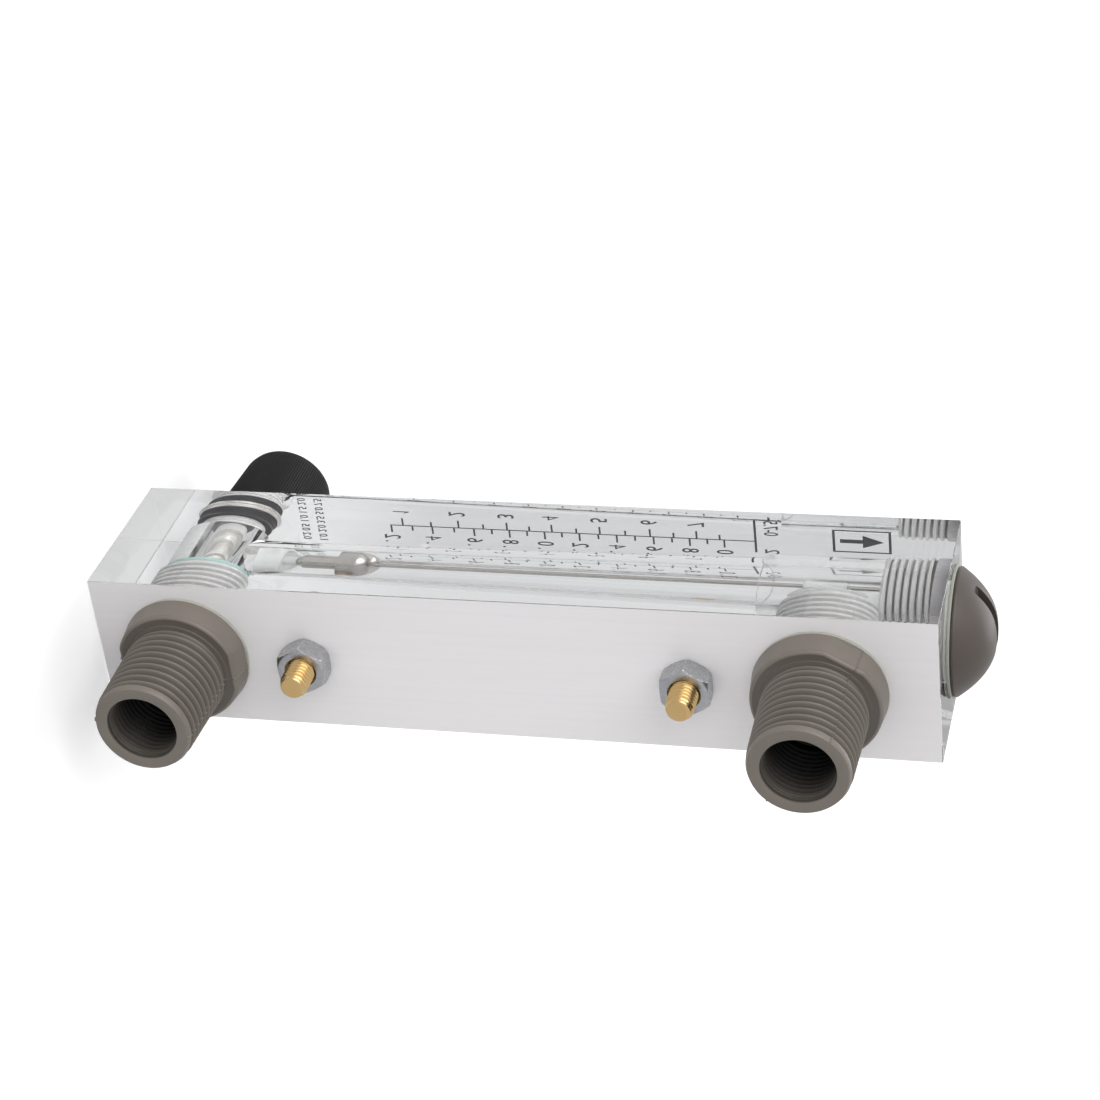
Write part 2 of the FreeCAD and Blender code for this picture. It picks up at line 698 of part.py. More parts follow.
def make_knob():
    """The tapered knob with its skirt, its screw at the spindle's end and its cap."""
    length = knob_back - knob_front
    floor = recess_floor
    bore = size["spigot_radius"] + size["spigot_fit"]
    spigot_end = size["skirt_depth"] + spigot_length + size["spigot_end_gap"]
    screw_hole = size["screw_radius"] + size["screw_hole_fit"]
    knob = turned("knob", [
        (size["skirt_radius"], ZERO),
        (size["knob_back_radius"] - size["knob_edge"], ZERO),
        (size["knob_back_radius"], size["knob_edge"]),
        (size["knob_front_radius"], length - size["knob_edge"]),
        (size["knob_front_radius"] - size["knob_edge"], length, size["knob_edge"]),
        (size["recess_radius"], length),
        (size["recess_radius"], floor),
        (screw_hole, floor),
        (screw_hole, spigot_end),
        (bore, spigot_end),
        (bore, size["skirt_depth"]),
        (size["skirt_radius"], size["skirt_depth"]),
    ])
    place(knob, y=knob_back, z=size["inlet_height"], rotation=FORWARD)

    shaft, lead, edge = size["screw_length"], size["screw_lead"], size["screw_head_edge"]
    head_top = shaft + size["screw_head_length"]
    screw = turned("knob_screw", [
        (ZERO, ZERO),
        (size["screw_pitch_radius"] - lead, ZERO),
        (size["screw_pitch_radius"], lead),
        (size["screw_pitch_radius"], shaft),
        (size["screw_head_radius"], shaft),
        (size["screw_head_radius"], head_top - edge),
        (size["screw_head_radius"] - edge, head_top, edge),
        (ZERO, head_top),
    ])
    slot = new_sketch(screw, "XY_Plane", "Slot", lift=head_top)
    half, reach = size["screw_slot"] / 2, size["screw_head_radius"] + size["cut_margin"]
    draw_outline(slot, rectangle(-reach, reach, -half, half))
    add_pocket(screw, slot, size["screw_head_length"] / 2, "Slot", upward=False)
    place(screw, y=knob_back - floor + shaft, z=size["inlet_height"], rotation=FORWARD)

    thickness, edge = size["cap_disc_thickness"], size["cap_disc_edge"]
    cap = turned("knob_cap", [
        (ZERO, ZERO),
        (size["cap_disc_radius"], ZERO),
        (size["cap_disc_radius"], thickness - edge),
        (size["cap_disc_radius"] - edge, thickness, edge),
        (ZERO, thickness),
    ])
    place(cap, y=knob_front + thickness, z=size["inlet_height"], rotation=FORWARD)


def make_stud(label, height):
    """A brass stud: meshed threads at their pitch radius, its free end at the full radius."""
    free_start = size["stud_depth"] + size["nut_thickness"]
    tip = size["stud_depth"] + size["stud_reach"]
    stud = turned(label, [
        (ZERO, ZERO),
        (size["stud_pitch_radius"] - size["stud_lead"], ZERO),
        (size["stud_pitch_radius"], size["stud_lead"]),
        (size["stud_pitch_radius"], free_start),
        (size["stud_radius"], free_start),
        (size["stud_radius"], tip - size["stud_bevel"]),
        (size["stud_radius"] - size["stud_bevel"], tip),
        (ZERO, tip),
    ])
    place(stud, y=back_face - size["stud_depth"], z=height, rotation=BACKWARD)


def make_nut(label, height):
    """A hexagon nut with both faces bevelled and one corner towards the block's side."""
    nut = new_body(label)
    outline = new_sketch(nut, "XY_Plane", "NutOutline")
    draw_outline(outline, hexagon(size["nut_across_flats"]))
    draw_circle(outline, ZERO, ZERO, size["stud_pitch_radius"] + size["thread_clearance"])
    thickness = size["nut_thickness"]
    add_pad(nut, outline, thickness, "Nut")
    flat = size["nut_bevel_radius"]
    nut_corner = size["nut_across_flats"] / math.sqrt(3)
    beyond = nut_corner + size["cut_margin"]
    drop = size["nut_bevel_rise"] * (beyond - flat) / (nut_corner - flat)
    low = [(flat, ZERO), (beyond, ZERO), (beyond, drop)]
    high = [(flat, thickness), (beyond, thickness - drop), (beyond, thickness)]
    for bevel, name in ((low, "BackBevel"), (high, "FrontBevel")):
        add_groove(nut, "XZ_Plane", bevel, (ZERO, ZERO), (ZERO, thickness), name)
    place(nut, y=back_face, z=height, rotation=BACKWARD)


def make_flat_rings():
    """The clear gaskets below the flanges and the cap, and the teal seat of the valve."""
    inner, outer = size["gasket_inner_radius"], flange_radius - size["gasket_inset"]
    for label, height in (("inlet_gasket", size["inlet_height"]), ("outlet_gasket", outlet_height)):
        gasket = washer(label, inner, outer, size["gasket_thickness"])
        place(gasket, y=back_face, z=height, rotation=BACKWARD)
    plug_gasket = washer(
        "plug_gasket", size["plug_gasket_inner_radius"],
        size["cap_radius"] + size["plug_gasket_lip"], size["plug_gasket_thickness"],
    )
    place(plug_gasket, y=-size["tube_offset"], z=block_length)
    seat = washer(
        "valve_seat", size["seat_hole_radius"], size["seat_outer_radius"], size["seat_thickness"]
    )
    place(seat, y=socket_floor, z=size["inlet_height"], rotation=BACKWARD)


def failed_objects():
    bad = []
    for item in document.Objects:
        if {"Invalid", "Error"} & set(item.State):
            bad.append(item.Label)
    return bad


def finished_parts():
    """Every sub-part by its label: the bodies and the plain solids."""
    kinds = ("PartDesign::Body", "Part::Cylinder", "Part::Torus")
    return {item.Label: item for item in document.Objects if item.TypeId in kinds}


def write_parts():
    document.recompute()
    bad = failed_objects()
    for label, item in finished_parts().items():
        shape = item.Shape
        if shape.isNull() or not shape.isValid() or len(shape.Solids) != 1:
            bad.append(label)
    if bad:
        raise RuntimeError("these failed: " + ", ".join(sorted(set(bad))))
    os.makedirs("parts", exist_ok=True)
    for label, item in finished_parts().items():
        item.Shape.exportStep(f"parts/{label}.step")
    print(f"{len(finished_parts())} sub-parts written")


make_acrylic_body()
make_fitting("inlet_fitting", size["inlet_height"], size["inlet_turn"])
make_fitting("outlet_fitting", outlet_height, size["outlet_turn"])
make_flat_rings()
make_top_plug()
make_guide_parts()
make_float()
make_gland()
make_orings()
make_stem()
make_knob()
make_stud("stud_lower", lower_stud_height)
make_stud("stud_upper", upper_stud_height)
make_nut("nut_lower", lower_stud_height)
make_nut("nut_upper", upper_stud_height)
write_parts()
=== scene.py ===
import math
import bmesh
import bpy
import numpy as np
from mathutils import Matrix, Vector


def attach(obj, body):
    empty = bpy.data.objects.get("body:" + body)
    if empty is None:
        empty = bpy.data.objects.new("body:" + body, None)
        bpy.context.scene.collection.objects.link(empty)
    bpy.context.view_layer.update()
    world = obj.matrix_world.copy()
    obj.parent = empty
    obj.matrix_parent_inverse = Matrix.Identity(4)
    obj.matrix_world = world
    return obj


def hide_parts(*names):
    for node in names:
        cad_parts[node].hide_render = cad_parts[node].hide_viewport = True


# Panel rotameter: a clear acrylic block with a float on a rod, a knob valve and two threaded ports.
# Sizes are in millimetres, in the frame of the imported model: +Z up along the tube, +Y out of the back.

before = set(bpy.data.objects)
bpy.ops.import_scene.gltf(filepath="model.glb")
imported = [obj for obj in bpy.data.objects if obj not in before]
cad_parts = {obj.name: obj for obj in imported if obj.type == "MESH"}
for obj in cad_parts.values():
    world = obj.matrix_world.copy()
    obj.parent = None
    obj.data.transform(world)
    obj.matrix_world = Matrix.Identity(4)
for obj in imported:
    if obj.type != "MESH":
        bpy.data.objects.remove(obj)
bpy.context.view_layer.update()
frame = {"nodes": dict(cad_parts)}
nodes = frame["nodes"]
print("frame loaded:", len(nodes), "CAD nodes")


# ---- helpers

def linearColour(hexText):
    # sRGB hex to linear: divide the low end by 12.92, raise the rest to the power 2.4
    parts = [int(hexText[start:start + 2], 16) / 255 for start in (0, 2, 4)]
    return [p / 12.92 if p <= 0.04045 else ((p + 0.055) / 1.055) ** 2.4 for p in parts] + [1.0]


def addNode(tree, kind, inputs={}, settings={}):
    # a socket, or a node's first one in use, becomes a link; hex text or another value is set
    node = tree.nodes.new("ShaderNode" + kind)
    for name, value in settings.items():
        setattr(node, name, value)
    for name, value in inputs.items():
        if isinstance(value, bpy.types.Node):
            value = next(output for output in value.outputs if output.enabled)
        if isinstance(value, bpy.types.NodeSocket):
            tree.links.new(value, node.inputs[name])
        else:
            node.inputs[name].default_value = linearColour(value) if isinstance(value, str) else value
    return node


colourMix = {"data_type": "RGBA"}
smooth = {"interpolation_type": "SMOOTHSTEP"}


def newMaterial(name):
    # the material, its tree and the place on the object
    material = bpy.data.materials.new(name)
    material.use_nodes = True
    tree = material.node_tree
    tree.nodes.clear()
    return material, tree, addNode(tree, "TexCoord").outputs["Object"]


def finish(material, shader):
    addNode(material.node_tree, "OutputMaterial", {"Surface": shader})
    return material


def finishClear(material, shader, lampColour):
    # lamps shine through the clear material, tinted
    tree = material.node_tree
    shadow = addNode(tree, "LightPath").outputs["Is Shadow Ray"]
    tint = addNode(tree, "BsdfTransparent", {"Color": lampColour})
    return finish(material, addNode(tree, "MixShader", {0: shadow, 1: shader, 2: tint}))


def mottled(tree, dark, light, noise):
    # a noise picks the colour between the two
    return addNode(tree, "Mix", {"Factor": addNode(tree, "TexNoise", noise), 6: dark, 7: light}, colourMix)


def pick(values, names):
    return [values[name] for name in names.split()]


def arcPoints(centre, radius, first, last, steps):
    # points of a circle's arc: centre plus radius times (cos t, sin t), t from first to last degrees
    turns = np.radians(np.linspace(first, last, steps))
    return [(centre[0] + radius * math.cos(t), centre[1] + radius * math.sin(t)) for t in turns]


def evenAngles(count, extra=()):
    # column angles from 0 to a full turn, with extra ones where a flat begins or ends
    turns = np.linspace(0, 2 * np.pi, count + 1)
    more = np.radians(np.array(extra, float)) % (2 * np.pi)
    return np.unique(np.round(np.concatenate([turns, more]), 9))


def ringRows(rings, angles, trim=None):
    # each (radius, place) ring is one row of points at a constant radius and place
    radius = np.array([[r] * len(angles) for r, _ in rings], float)
    place = np.array([[a] * len(angles) for _, a in rings], float)
    if trim is not None:
        radius = trim(radius, place, angles)
    return radius, place


def threadRows(thread, angles):
    # a row winds up by one pitch in each turn: place = start + pitch * angle / 2 pi, held between the ends
    # radius = wall(place) + depth * fade(place) * height(phase), so the ends are plain rings
    low, high = sorted((thread["from"], thread["to"]))
    pitch, shape = thread["pitch"], np.array(thread["shape"], float)
    count = int(math.ceil((high - low) / pitch)) + 3
    base = math.floor(low / pitch) - 2
    starts = (np.arange(count + 2)[:, None] + base + shape[None, :, 0] + thread.get("phase", 0)) * pitch
    heights = np.repeat(shape[None, :, 1], count + 2, 0)
    starts, heights = starts.ravel(), heights.ravel()
    kept = (starts > low - pitch * 1.01) & (starts < high + pitch * 0.01)
    starts, heights = starts[kept], heights[kept]
    starts = np.concatenate([[low - pitch], starts, [high]])
    heights = np.concatenate([[0], heights, [0]])
    place = np.clip(starts[:, None] + pitch * angles[None, :] / (2 * np.pi), low, high)
    share = (place - low) / (high - low)
    wall = thread["wall"][0] + (thread["wall"][1] - thread["wall"][0]) * (
        share if thread["from"] < thread["to"] else 1 - share)
    fade = np.minimum((place - low) / thread["fade"][0], (high - place) / thread["fade"][1])
    radius = wall + thread["depth"] * np.clip(fade, 0, 1) * heights[:, None]
    if thread["from"] > thread["to"]:
        radius, place = radius[::-1], place[::-1]
    return radius, place


def turnedPoints(stretches, angles, axis, seam=None):
    # a lathe form: every stretch gives rows, and a point is (r cos t, r sin t, place) laid along the axis
    rows = []
    for stretch in stretches:
        if isinstance(stretch, dict) and "pitch" in stretch:
            rows.append(threadRows(stretch, angles))
        elif isinstance(stretch, dict):
            rows.append(ringRows(stretch["rings"], angles, stretch["trim"]))
        else:
            rows.append(ringRows(stretch, angles))
    radius = np.concatenate([r for r, _ in rows])
    place = np.concatenate([a for _, a in rows])
    if seam is not None:
        radius = seam(radius, place, angles)
    across, aside = radius * np.cos(angles), radius * np.sin(angles)
    if axis["along"] == "z":
        points = np.stack([across, aside + axis["y"], place], -1)
    else:
        points = np.stack([across, place, axis["z"] - aside], -1)
    return points


def gridFaces(rows, columns):
    # four neighbours of a grid make a face
    index = np.arange(rows * columns).reshape(rows, columns)
    return np.stack([index[:-1, :-1], index[:-1, 1:], index[1:, 1:], index[1:, :-1]], -1).reshape(-1, 4)


def makeMesh(name, points, faces, sharp=32, weld=0.002):
    # millimetres to metres, doubles merged, faces turned outwards, edges above the angle kept sharp
    mesh = bpy.data.meshes.new(name)
    mesh.from_pydata((points.reshape(-1, 3) * 0.001).tolist(), [], [list(face) for face in faces])
    work = bmesh.new()
    work.from_mesh(mesh)
    bmesh.ops.remove_doubles(work, verts=work.verts, dist=weld * 0.001)
    bmesh.ops.recalc_face_normals(work, faces=work.faces)
    work.to_mesh(mesh)
    work.free()
    sharpen(mesh, sharp)
    return mesh


def turnedMesh(name, stretches, axis, count=128, extra=(), sharp=32, seam=None):
    points = turnedPoints(stretches, evenAngles(count, extra), axis, seam)
    return makeMesh(name, points, gridFaces(*points.shape[:2]), sharp)


def prismMesh(name, rings):
    # rings of points are joined round and along, and closed at both ends
    closed = np.concatenate([rings, rings[:, :1]], 1)
    rows, columns = closed.shape[:2]
    ends = [list(range(first, first + columns - 1)) for first in (0, (rows - 1) * columns)]
    return makeMesh(name, closed, gridFaces(rows, columns).tolist() + ends)


def readRows(items, name):
    # a property with three parts as an array with one row for each item
    flat = np.zeros(len(items) * 3)
    items.foreach_get(name, flat)
    return flat.reshape(-1, 3)


def faceCentres(mesh):
    return readRows(mesh.polygons, "center") * 1000


def setKinds(mesh, kinds):
    # which of the piece's materials each face takes
    mesh.polygons.foreach_set("material_index", kinds.astype(np.int32))


def newObject(name, mesh):
    piece = bpy.data.objects.new(name, mesh)
    bpy.context.scene.collection.objects.link(piece)
    return piece


def coat(mesh, *materials):
    mesh.materials.clear()
    for material in materials:
        mesh.materials.append(material)


def assign(piece, materials, body, slot, *replaced):
    coat(piece.data, *materials)
    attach(piece, body)
    if replaced:
        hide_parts(*replaced)
    return piece


def addPiece(name, mesh, *rest):
    return assign(newObject(name, mesh), *rest)


def addTurned(name, stretches, axis, values, material, body, slot, *replaced):
    mesh = turnedMesh(name, stretches, axis, values["steps"], (), values["sharp"])
    return addPiece(name, mesh, [material], body, slot, *replaced)


def meshOf(piece):
    # the mesh that the piece has with its modifiers, as a copy
    bpy.context.view_layer.update()
    return bpy.data.meshes.new_from_object(piece.evaluated_get(bpy.context.evaluated_depsgraph_get()))


def cutAway(piece, name, mesh):
    # what the cutter's mesh fills is taken out of the piece
    cutter = newObject(name, mesh)
    modifier = piece.modifiers.new("cut", "BOOLEAN")
    modifier.object, modifier.operation, modifier.solver = cutter, "DIFFERENCE", "MANIFOLD"
    result = meshOf(piece)
    piece.modifiers.clear()
    old, oldName = piece.data, piece.data.name
    piece.data = result
    bpy.data.meshes.remove(old)
    result.name = oldName
    bpy.data.objects.remove(cutter)


def sharpen(mesh, angle):
    mesh.shade_smooth()
    mesh.set_sharp_from_angle(angle=math.radians(angle))


# ---- camera and light

cameraValues = {
    "place": (314.539, 449.167, 240.350),
    "right": (-0.10437, -0.23899, 0.96540),
    "forward": (-0.53291, -0.80614, -0.25718),
    "focalPixels": 2677, "framePixels": 1100, "sensor": 36,
}


def addCamera():
    values = cameraValues
    data = bpy.data.cameras.new("photoCamera")
    data.sensor_width = values["sensor"]
    data.lens = values["focalPixels"] / values["framePixels"] * values["sensor"]
    data.clip_start, data.clip_end = 0.01, 50
    camera = newObject("photoCamera", data)
    right = np.array(values["right"]) / np.linalg.norm(values["right"])
    back = -np.array(values["forward"])
    back = back - right * (back @ right)
    back = back / np.linalg.norm(back)
    matrix = np.eye(4)
    matrix[:3, 0], matrix[:3, 1], matrix[:3, 2] = right, np.cross(back, right), back
    matrix[:3, 3] = np.array(values["place"]) * 0.001
    camera.matrix_world = Matrix(matrix.tolist())
    bpy.context.scene.camera = camera


lightValues = {
    "world": 0.62, "glassDark": 0.72, "glassLight": 1.0,
    "softboxes": {
        "keySoftbox": {"from": (0.78, 0.22, 0.55), "strength": 1.6, "spread": 55},
        "fillSoftbox": {"from": (-0.15, -0.70, 0.75), "strength": 0.8, "spread": 40},
    },
    "floorColour": "e9e9ea", "floorMirrored": "cacacc", "floorGlow": 0.34, "floorUnder": 0.14, "floorSize": 6,
    "throughFront": "d8d8d9", "throughBehind": "cdcdce", "throughNear": 0.06, "throughFar": 0.22,
}


def rayKinds(tree):
    # 1 where the ray comes from the camera, from a gloss, or through glass
    path = addNode(tree, "LightPath")
    return [path.outputs["Is " + kind + " Ray"] for kind in ("Camera", "Glossy", "Transmission")]


def addLights():
    values = lightValues
    for name, box in values["softboxes"].items():
        data = bpy.data.lights.new(name, "SUN")
        data.energy, data.angle = box["strength"], math.radians(box["spread"])
        light = newObject(name, data)
        light.rotation_euler = Vector([-part for part in box["from"]]).to_track_quat("-Z", "Y").to_euler()

    # the world lights the object plainly and shows white to the camera
    # glass and metal see it darker towards -X: the level rises smoothly from glassDark to glassLight with X
    world = bpy.data.worlds.new("studio")
    bpy.context.scene.world = world
    world.use_nodes = True
    tree = world.node_tree
    tree.nodes.clear()
    camera, glossy, passing = rayKinds(tree)
    parts = addNode(tree, "SeparateXYZ", {0: addNode(tree, "TexCoord").outputs["Generated"]})
    level = addNode(tree, "MapRange", {
        "Value": parts.outputs["X"], "From Min": -0.65, "From Max": 0.6,
        "To Min": values["glassDark"], "To Max": values["glassLight"]}, smooth)
    glass = addNode(tree, "Math", {0: glossy, 1: passing}, {"operation": "MAXIMUM"})
    inside = addNode(tree, "Mix", {"Factor": glass, "A": values["world"], "B": level}, {"data_type": "FLOAT"})
    strength = addNode(tree, "Mix", {"Factor": camera, "A": inside, "B": 1.0}, {"data_type": "FLOAT"})
    light = addNode(tree, "Background", {"Color": "ffffff", "Strength": strength})
    addNode(tree, "OutputWorld", {"Surface": light})


def addFloor():
    # white card that takes the object's shadow and glows a little
    values = lightValues
    material, tree, place = newMaterial("whiteCard")
    camera, glossy, passing = rayKinds(tree)
    mirrored = addNode(tree, "Math", {0: glossy, 1: passing}, {"operation": "SUBTRACT", "use_clamp": True})
    # a mirror shows the card greyer
    white = addNode(tree, "Mix", {
        "Factor": mirrored, 6: values["floorColour"], 7: values["floorMirrored"]}, colourMix)
    # seen through the acrylic the card falls off in light away from the object, more so behind it
    away = addNode(tree, "VectorMath", {0: place}, {"operation": "LENGTH"})
    far = addNode(tree, "MapRange", {
        "Value": away, "From Min": values["throughNear"], "From Max": values["throughFar"]}, smooth)
    parts = addNode(tree, "SeparateXYZ", {0: place})
    behind = addNode(tree, "MapRange", {"Value": parts.outputs["Y"], "From Min": -0.04, "From Max": 0.06}, smooth)
    side = addNode(tree, "Mix", {
        "Factor": behind, 6: values["throughFront"], 7: values["throughBehind"]}, colourMix)
    through = addNode(tree, "Math", {0: far, 1: passing}, {"operation": "MULTIPLY"})
    shaded = addNode(tree, "Mix", {"Factor": through, 6: white, 7: side}, colourMix)
    card = addNode(tree, "BsdfDiffuse", {"Color": shaded})
    # under the block the card is lit through the acrylic, which only shows from inside it
    under = addNode(tree, "MapRange", {
        "Value": away, "From Min": 0.02, "From Max": 0.028,
        "To Min": values["floorUnder"], "To Max": 0.0})
    lit = addNode(tree, "Math", {0: under, 1: passing}, {"operation": "MULTIPLY"})
    level = addNode(tree, "Math", {0: camera, 1: values["floorGlow"], 2: lit}, {"operation": "MULTIPLY_ADD"})
    glow = addNode(tree, "Emission", {"Strength": level})
    finish(material, addNode(tree, "AddShader", {0: card, 1: glow}))
    half = values["floorSize"] * 500
    corners = np.array([[x * half, y * half, -0.2] for x, y in ((-1, -1), (1, -1), (1, 1), (-1, 1))])
    mesh = makeMesh("floor", corners, [[0, 1, 2, 3]])
    coat(mesh, material)
    newObject("floor", mesh)


addCamera()
addLights()
addFloor()
bpy.context.scene.view_settings.view_transform = "Standard"
print("camera, lights and floor placed")


# ---- materials

def makeAcrylic(name, roughness, white, frostColour="e8e8e8"):
    # cast acrylic: clear with crisp mirrors inside where it is polished; a tap leaves it hazy and white
    # white is the share of the surface that scatters instead of refracting
    material, tree, place = newMaterial(name)
    clear = addNode(tree, "BsdfPrincipled", {
        "Base Color": "fbfcfc", "Roughness": roughness, "IOR": 1.49, "Transmission Weight": 1.0})
    surface = clear
    if white:
        marks = addNode(tree, "TexNoise", {"Vector": place, "Scale": 900.0, "Detail": 2.0})
        share = addNode(tree, "MapRange", {"Value": marks, "To Min": white * 0.8, "To Max": min(white * 1.2, 1)})
        front = addNode(tree, "BsdfDiffuse", {"Color": frostColour})
        behind = addNode(tree, "BsdfTranslucent", {"Color": frostColour})
        frost = addNode(tree, "MixShader", {0: 0.4, 1: front, 2: behind})
        surface = addNode(tree, "MixShader", {0: share, 1: clear, 2: frost})
    return finishClear(material, surface, "f7f7f7")


def makeGroundAcrylic():
    # the back face is ground and lacquered white: a dense matt white with faint lengthwise streaks
    material, tree, place = newMaterial("lacqueredBack")
    streaks = addNode(tree, "Mapping", {"Vector": place, "Scale": (900, 900, 14)})
    colour = mottled(tree, "eae8e9", "f1eff0", {"Vector": streaks, "Scale": 1.0, "Detail": 3.0, "Roughness": 0.55})
    lacquer = addNode(tree, "BsdfPrincipled", {"Base Color": colour, "Roughness": 0.45, "IOR": 1.49})
    return finish(material, lacquer)


def makeMoulded(name, dark, light, roughness, grain, depth, ior=1.5, hollow=None):
    # injection moulded plastic: slightly cloudy with a fine satin grain
    # painted shade: where the piece's attribute "hollow" rises to 1, in grooves and corners, the darker hollow
    # colour takes over
    material, tree, place = newMaterial(name)
    colour = mottled(tree, dark, light, {"Vector": place, "Scale": 160.0, "Detail": 4.0})
    if hollow:
        paintedShadeIn = addNode(tree, "Attribute", {}, {"attribute_name": "hollow"})
        colour = addNode(tree, "Mix", {"Factor": paintedShadeIn.outputs["Fac"], 6: colour, 7: hollow}, colourMix)
    satin = addNode(tree, "TexNoise", {"Vector": place, "Scale": grain, "Detail": 2.0})
    bump = addNode(tree, "Bump", {"Height": satin, "Strength": 0.25, "Distance": depth})
    plastic = addNode(tree, "BsdfPrincipled", {
        "Base Color": colour, "Roughness": roughness, "IOR": ior, "Normal": bump})
    return finish(material, plastic)


def makeBore():
    # the grey plastic inside the ports, dull, with painted shade: darker the deeper it lies
    material, tree, place = newMaterial("mouldedAbsBore")
    parts = addNode(tree, "SeparateXYZ", {0: place})
    depth = addNode(tree, "MapRange", {
        "Value": parts.outputs["Y"], "From Min": 0.036, "From Max": 0.0462}, smooth)
    colour = addNode(tree, "Mix", {"Factor": depth, 6: "0d0c0b", 7: "4d4842"}, colourMix)
    plastic = addNode(tree, "BsdfPrincipled", {"Base Color": colour, "Roughness": 0.5, "IOR": 1.3})
    return finish(material, plastic)


def makeMetal(name, dark, light, roughness, spread, lines, axis, metallic=1.0):
    # turned metal: fine rings left by the tool change colour and gloss; half metallic is a satin finish
    material, tree, place = newMaterial(name)
    scale = {"z": (40, 40, lines), "y": (40, lines, 40), "none": (lines, lines, lines)}[axis]
    rings = addNode(tree, "Mapping", {"Vector": place, "Scale": scale})
    noise = addNode(tree, "TexNoise", {"Vector": rings, "Scale": 1.0, "Detail": 3.0})
    colour = addNode(tree, "Mix", {"Factor": noise, 6: dark, 7: light}, colourMix)
    gloss = addNode(tree, "MapRange", {
        "Value": noise, "To Min": roughness - spread, "To Max": roughness + spread})
    bump = addNode(tree, "Bump", {"Height": noise, "Strength": 0.2, "Distance": 0.00002})
    metal = addNode(tree, "BsdfPrincipled", {
        "Base Color": colour, "Metallic": metallic, "Roughness": gloss, "Normal": bump})
    return finish(material, metal)


def makeClearPlastic(name, tint, roughness, amount, haze="fdfdfd"):
    # milky moulded plastic or silicone: mostly clear, with a white haze in it
    material, tree, place = newMaterial(name)
    colour = mottled(tree, tint, haze, {"Vector": place, "Scale": 300.0, "Detail": 3.0})
    clear = addNode(tree, "BsdfPrincipled", {
        "Base Color": colour, "Roughness": roughness, "IOR": 1.42, "Transmission Weight": amount})
    return finishClear(material, clear, "d8d8d8")


def makeInk():
    # screen printing ink, baked: dense black with a dull surface
    material, tree, place = newMaterial("screenInk")
    colour = mottled(tree, "16161a", "24242a", {"Vector": place, "Scale": 1500.0})
    ink = addNode(tree, "BsdfPrincipled", {"Base Color": colour, "Roughness": 0.6})
    return finish(material, ink)


castAcrylic = makeAcrylic("castAcrylic", 0.0, 0)
drilledAcrylic = makeAcrylic("drilledAcrylic", 0.08, 0.18)
tappedAcrylic = makeAcrylic("tappedAcrylic", 0.3, 0.80, "f4f4f4")
boredAcrylic = makeAcrylic("boredAcrylic", 0.03, 0.07, "fafafa")
# painted shade: a grey frost on the flats of the tapped threads, where dark plastic also lies close behind
shadedAcrylic = makeAcrylic("shadedAcrylic", 0.3, 0.75, "7f7d80")      # where dark plastic lies close behind
# paler painted shade for the ports' thread flats and the plug's mouth, where grey plastic also lies close behind
paleShadedAcrylic = makeAcrylic("paleShadedAcrylic", 0.3, 0.75, "dcdade")
sandedAcrylic = makeAcrylic("sandedAcrylic", 0.3, 0.9, "ffffff")
lacqueredBack = makeGroundAcrylic()
# 57514a is the hollow colour: painted shade in the fittings' thread grooves and on the flange's front
fittingPlastic = makeMoulded("mouldedAbsGrey", "716a62", "797169", 0.42, 2600.0, 0.00003, 1.5, "57514a")
borePlastic = makeBore()
plugPlastic = makeMoulded("mouldedAbsDark", "4a423d", "514843", 0.40, 2600.0, 0.00003)
knobPlastic = makeMoulded("mouldedAbsBlack", "0e0d0e", "131213", 0.5, 3000.0, 0.00003, 1.28)
turnedSteel = makeMetal("turnedStainless", "b2aea9", "cfcbc6", 0.18, 0.06, 5200, "z")
valveSteel = makeMetal("turnedValveSteel", "dad7d3", "ece9e5", 0.26, 0.07, 5200, "y", 0.5)
turnedBrass = makeMetal("turnedBrass", "cda768", "ebcd98", 0.22, 0.06, 4200, "y")
zincPlate = makeMetal("zincPlate", "a4a5a8", "c6c7c9", 0.28, 0.1, 900, "none")
blackRubber = makeMoulded("blackNitrile", "0f0f11", "17171a", 0.5, 2200.0, 0.00002, 1.35)
milkyPlastic = makeClearPlastic("milkyPlastic", "eef0ef", 0.3, 0.5)
clearSilicone = makeClearPlastic("clearSilicone", "e4e5da", 0.35, 0.5, "d6d8cb")
tealPlastic = makeClearPlastic("tealPlastic", "a2cdc6", 0.3, 0.1, "bfdcd8")
screenInk = makeInk()
print("materials made")


# ---- where things are, as in the part's source

tubeAxis = {"along": "z", "y": -3.2}
inletAxis = {"along": "y", "z": 20.0}
outletAxis = {"along": "y", "z": 156.0}
lowerStudAxis = {"along": "y", "z": 47.0}
upperStudAxis = {"along": "y", "z": 129.0}


def mirrored(half):
    # the other half of the pitch runs back up the same way
    return half + [(1 - phase, height) for phase, height in reversed(half[1:-1])]


# thread forms: (phase in the pitch, height from 0 at the pitch line to 1 at the crest and -1 at the root)
roundedShape = mirrored([
    (0.0, 1.0), (0.06, 0.96), (0.12, 0.8), (0.25, 0.0), (0.38, -0.8), (0.44, -0.96), (0.5, -1.0)])
sharpShape = mirrored([(0.0, 1.0), (0.07, 0.9), (0.43, -0.9), (0.5, -1.0)])
tappedShape = [(0.0, 1.0), (0.2, 1.0), (0.38, -0.95), (0.62, -0.95), (0.8, 1.0)]
ridgeShape = mirrored([
    (0.0, 1.0), (0.05, 0.93), (0.11, 0.62), (0.2, 0.0), (0.3, -0.55), (0.4, -0.88), (0.5, -1.0)])

socketThread = {"pitch": 1.814, "depth": 0.56, "shape": tappedShape, "fade": (0.5, 0.3)}
plugThread = {"pitch": 1.5, "depth": 0.46, "shape": tappedShape, "fade": (0.5, 0.3)}
glandThread = {"pitch": 1.0, "depth": 0.28, "shape": tappedShape, "fade": (0.3, 0.3)}
studThread = {"pitch": 1.0, "depth": 0.31, "shape": sharpShape, "fade": (0.4, 0.4)}


# ---- acrylic block

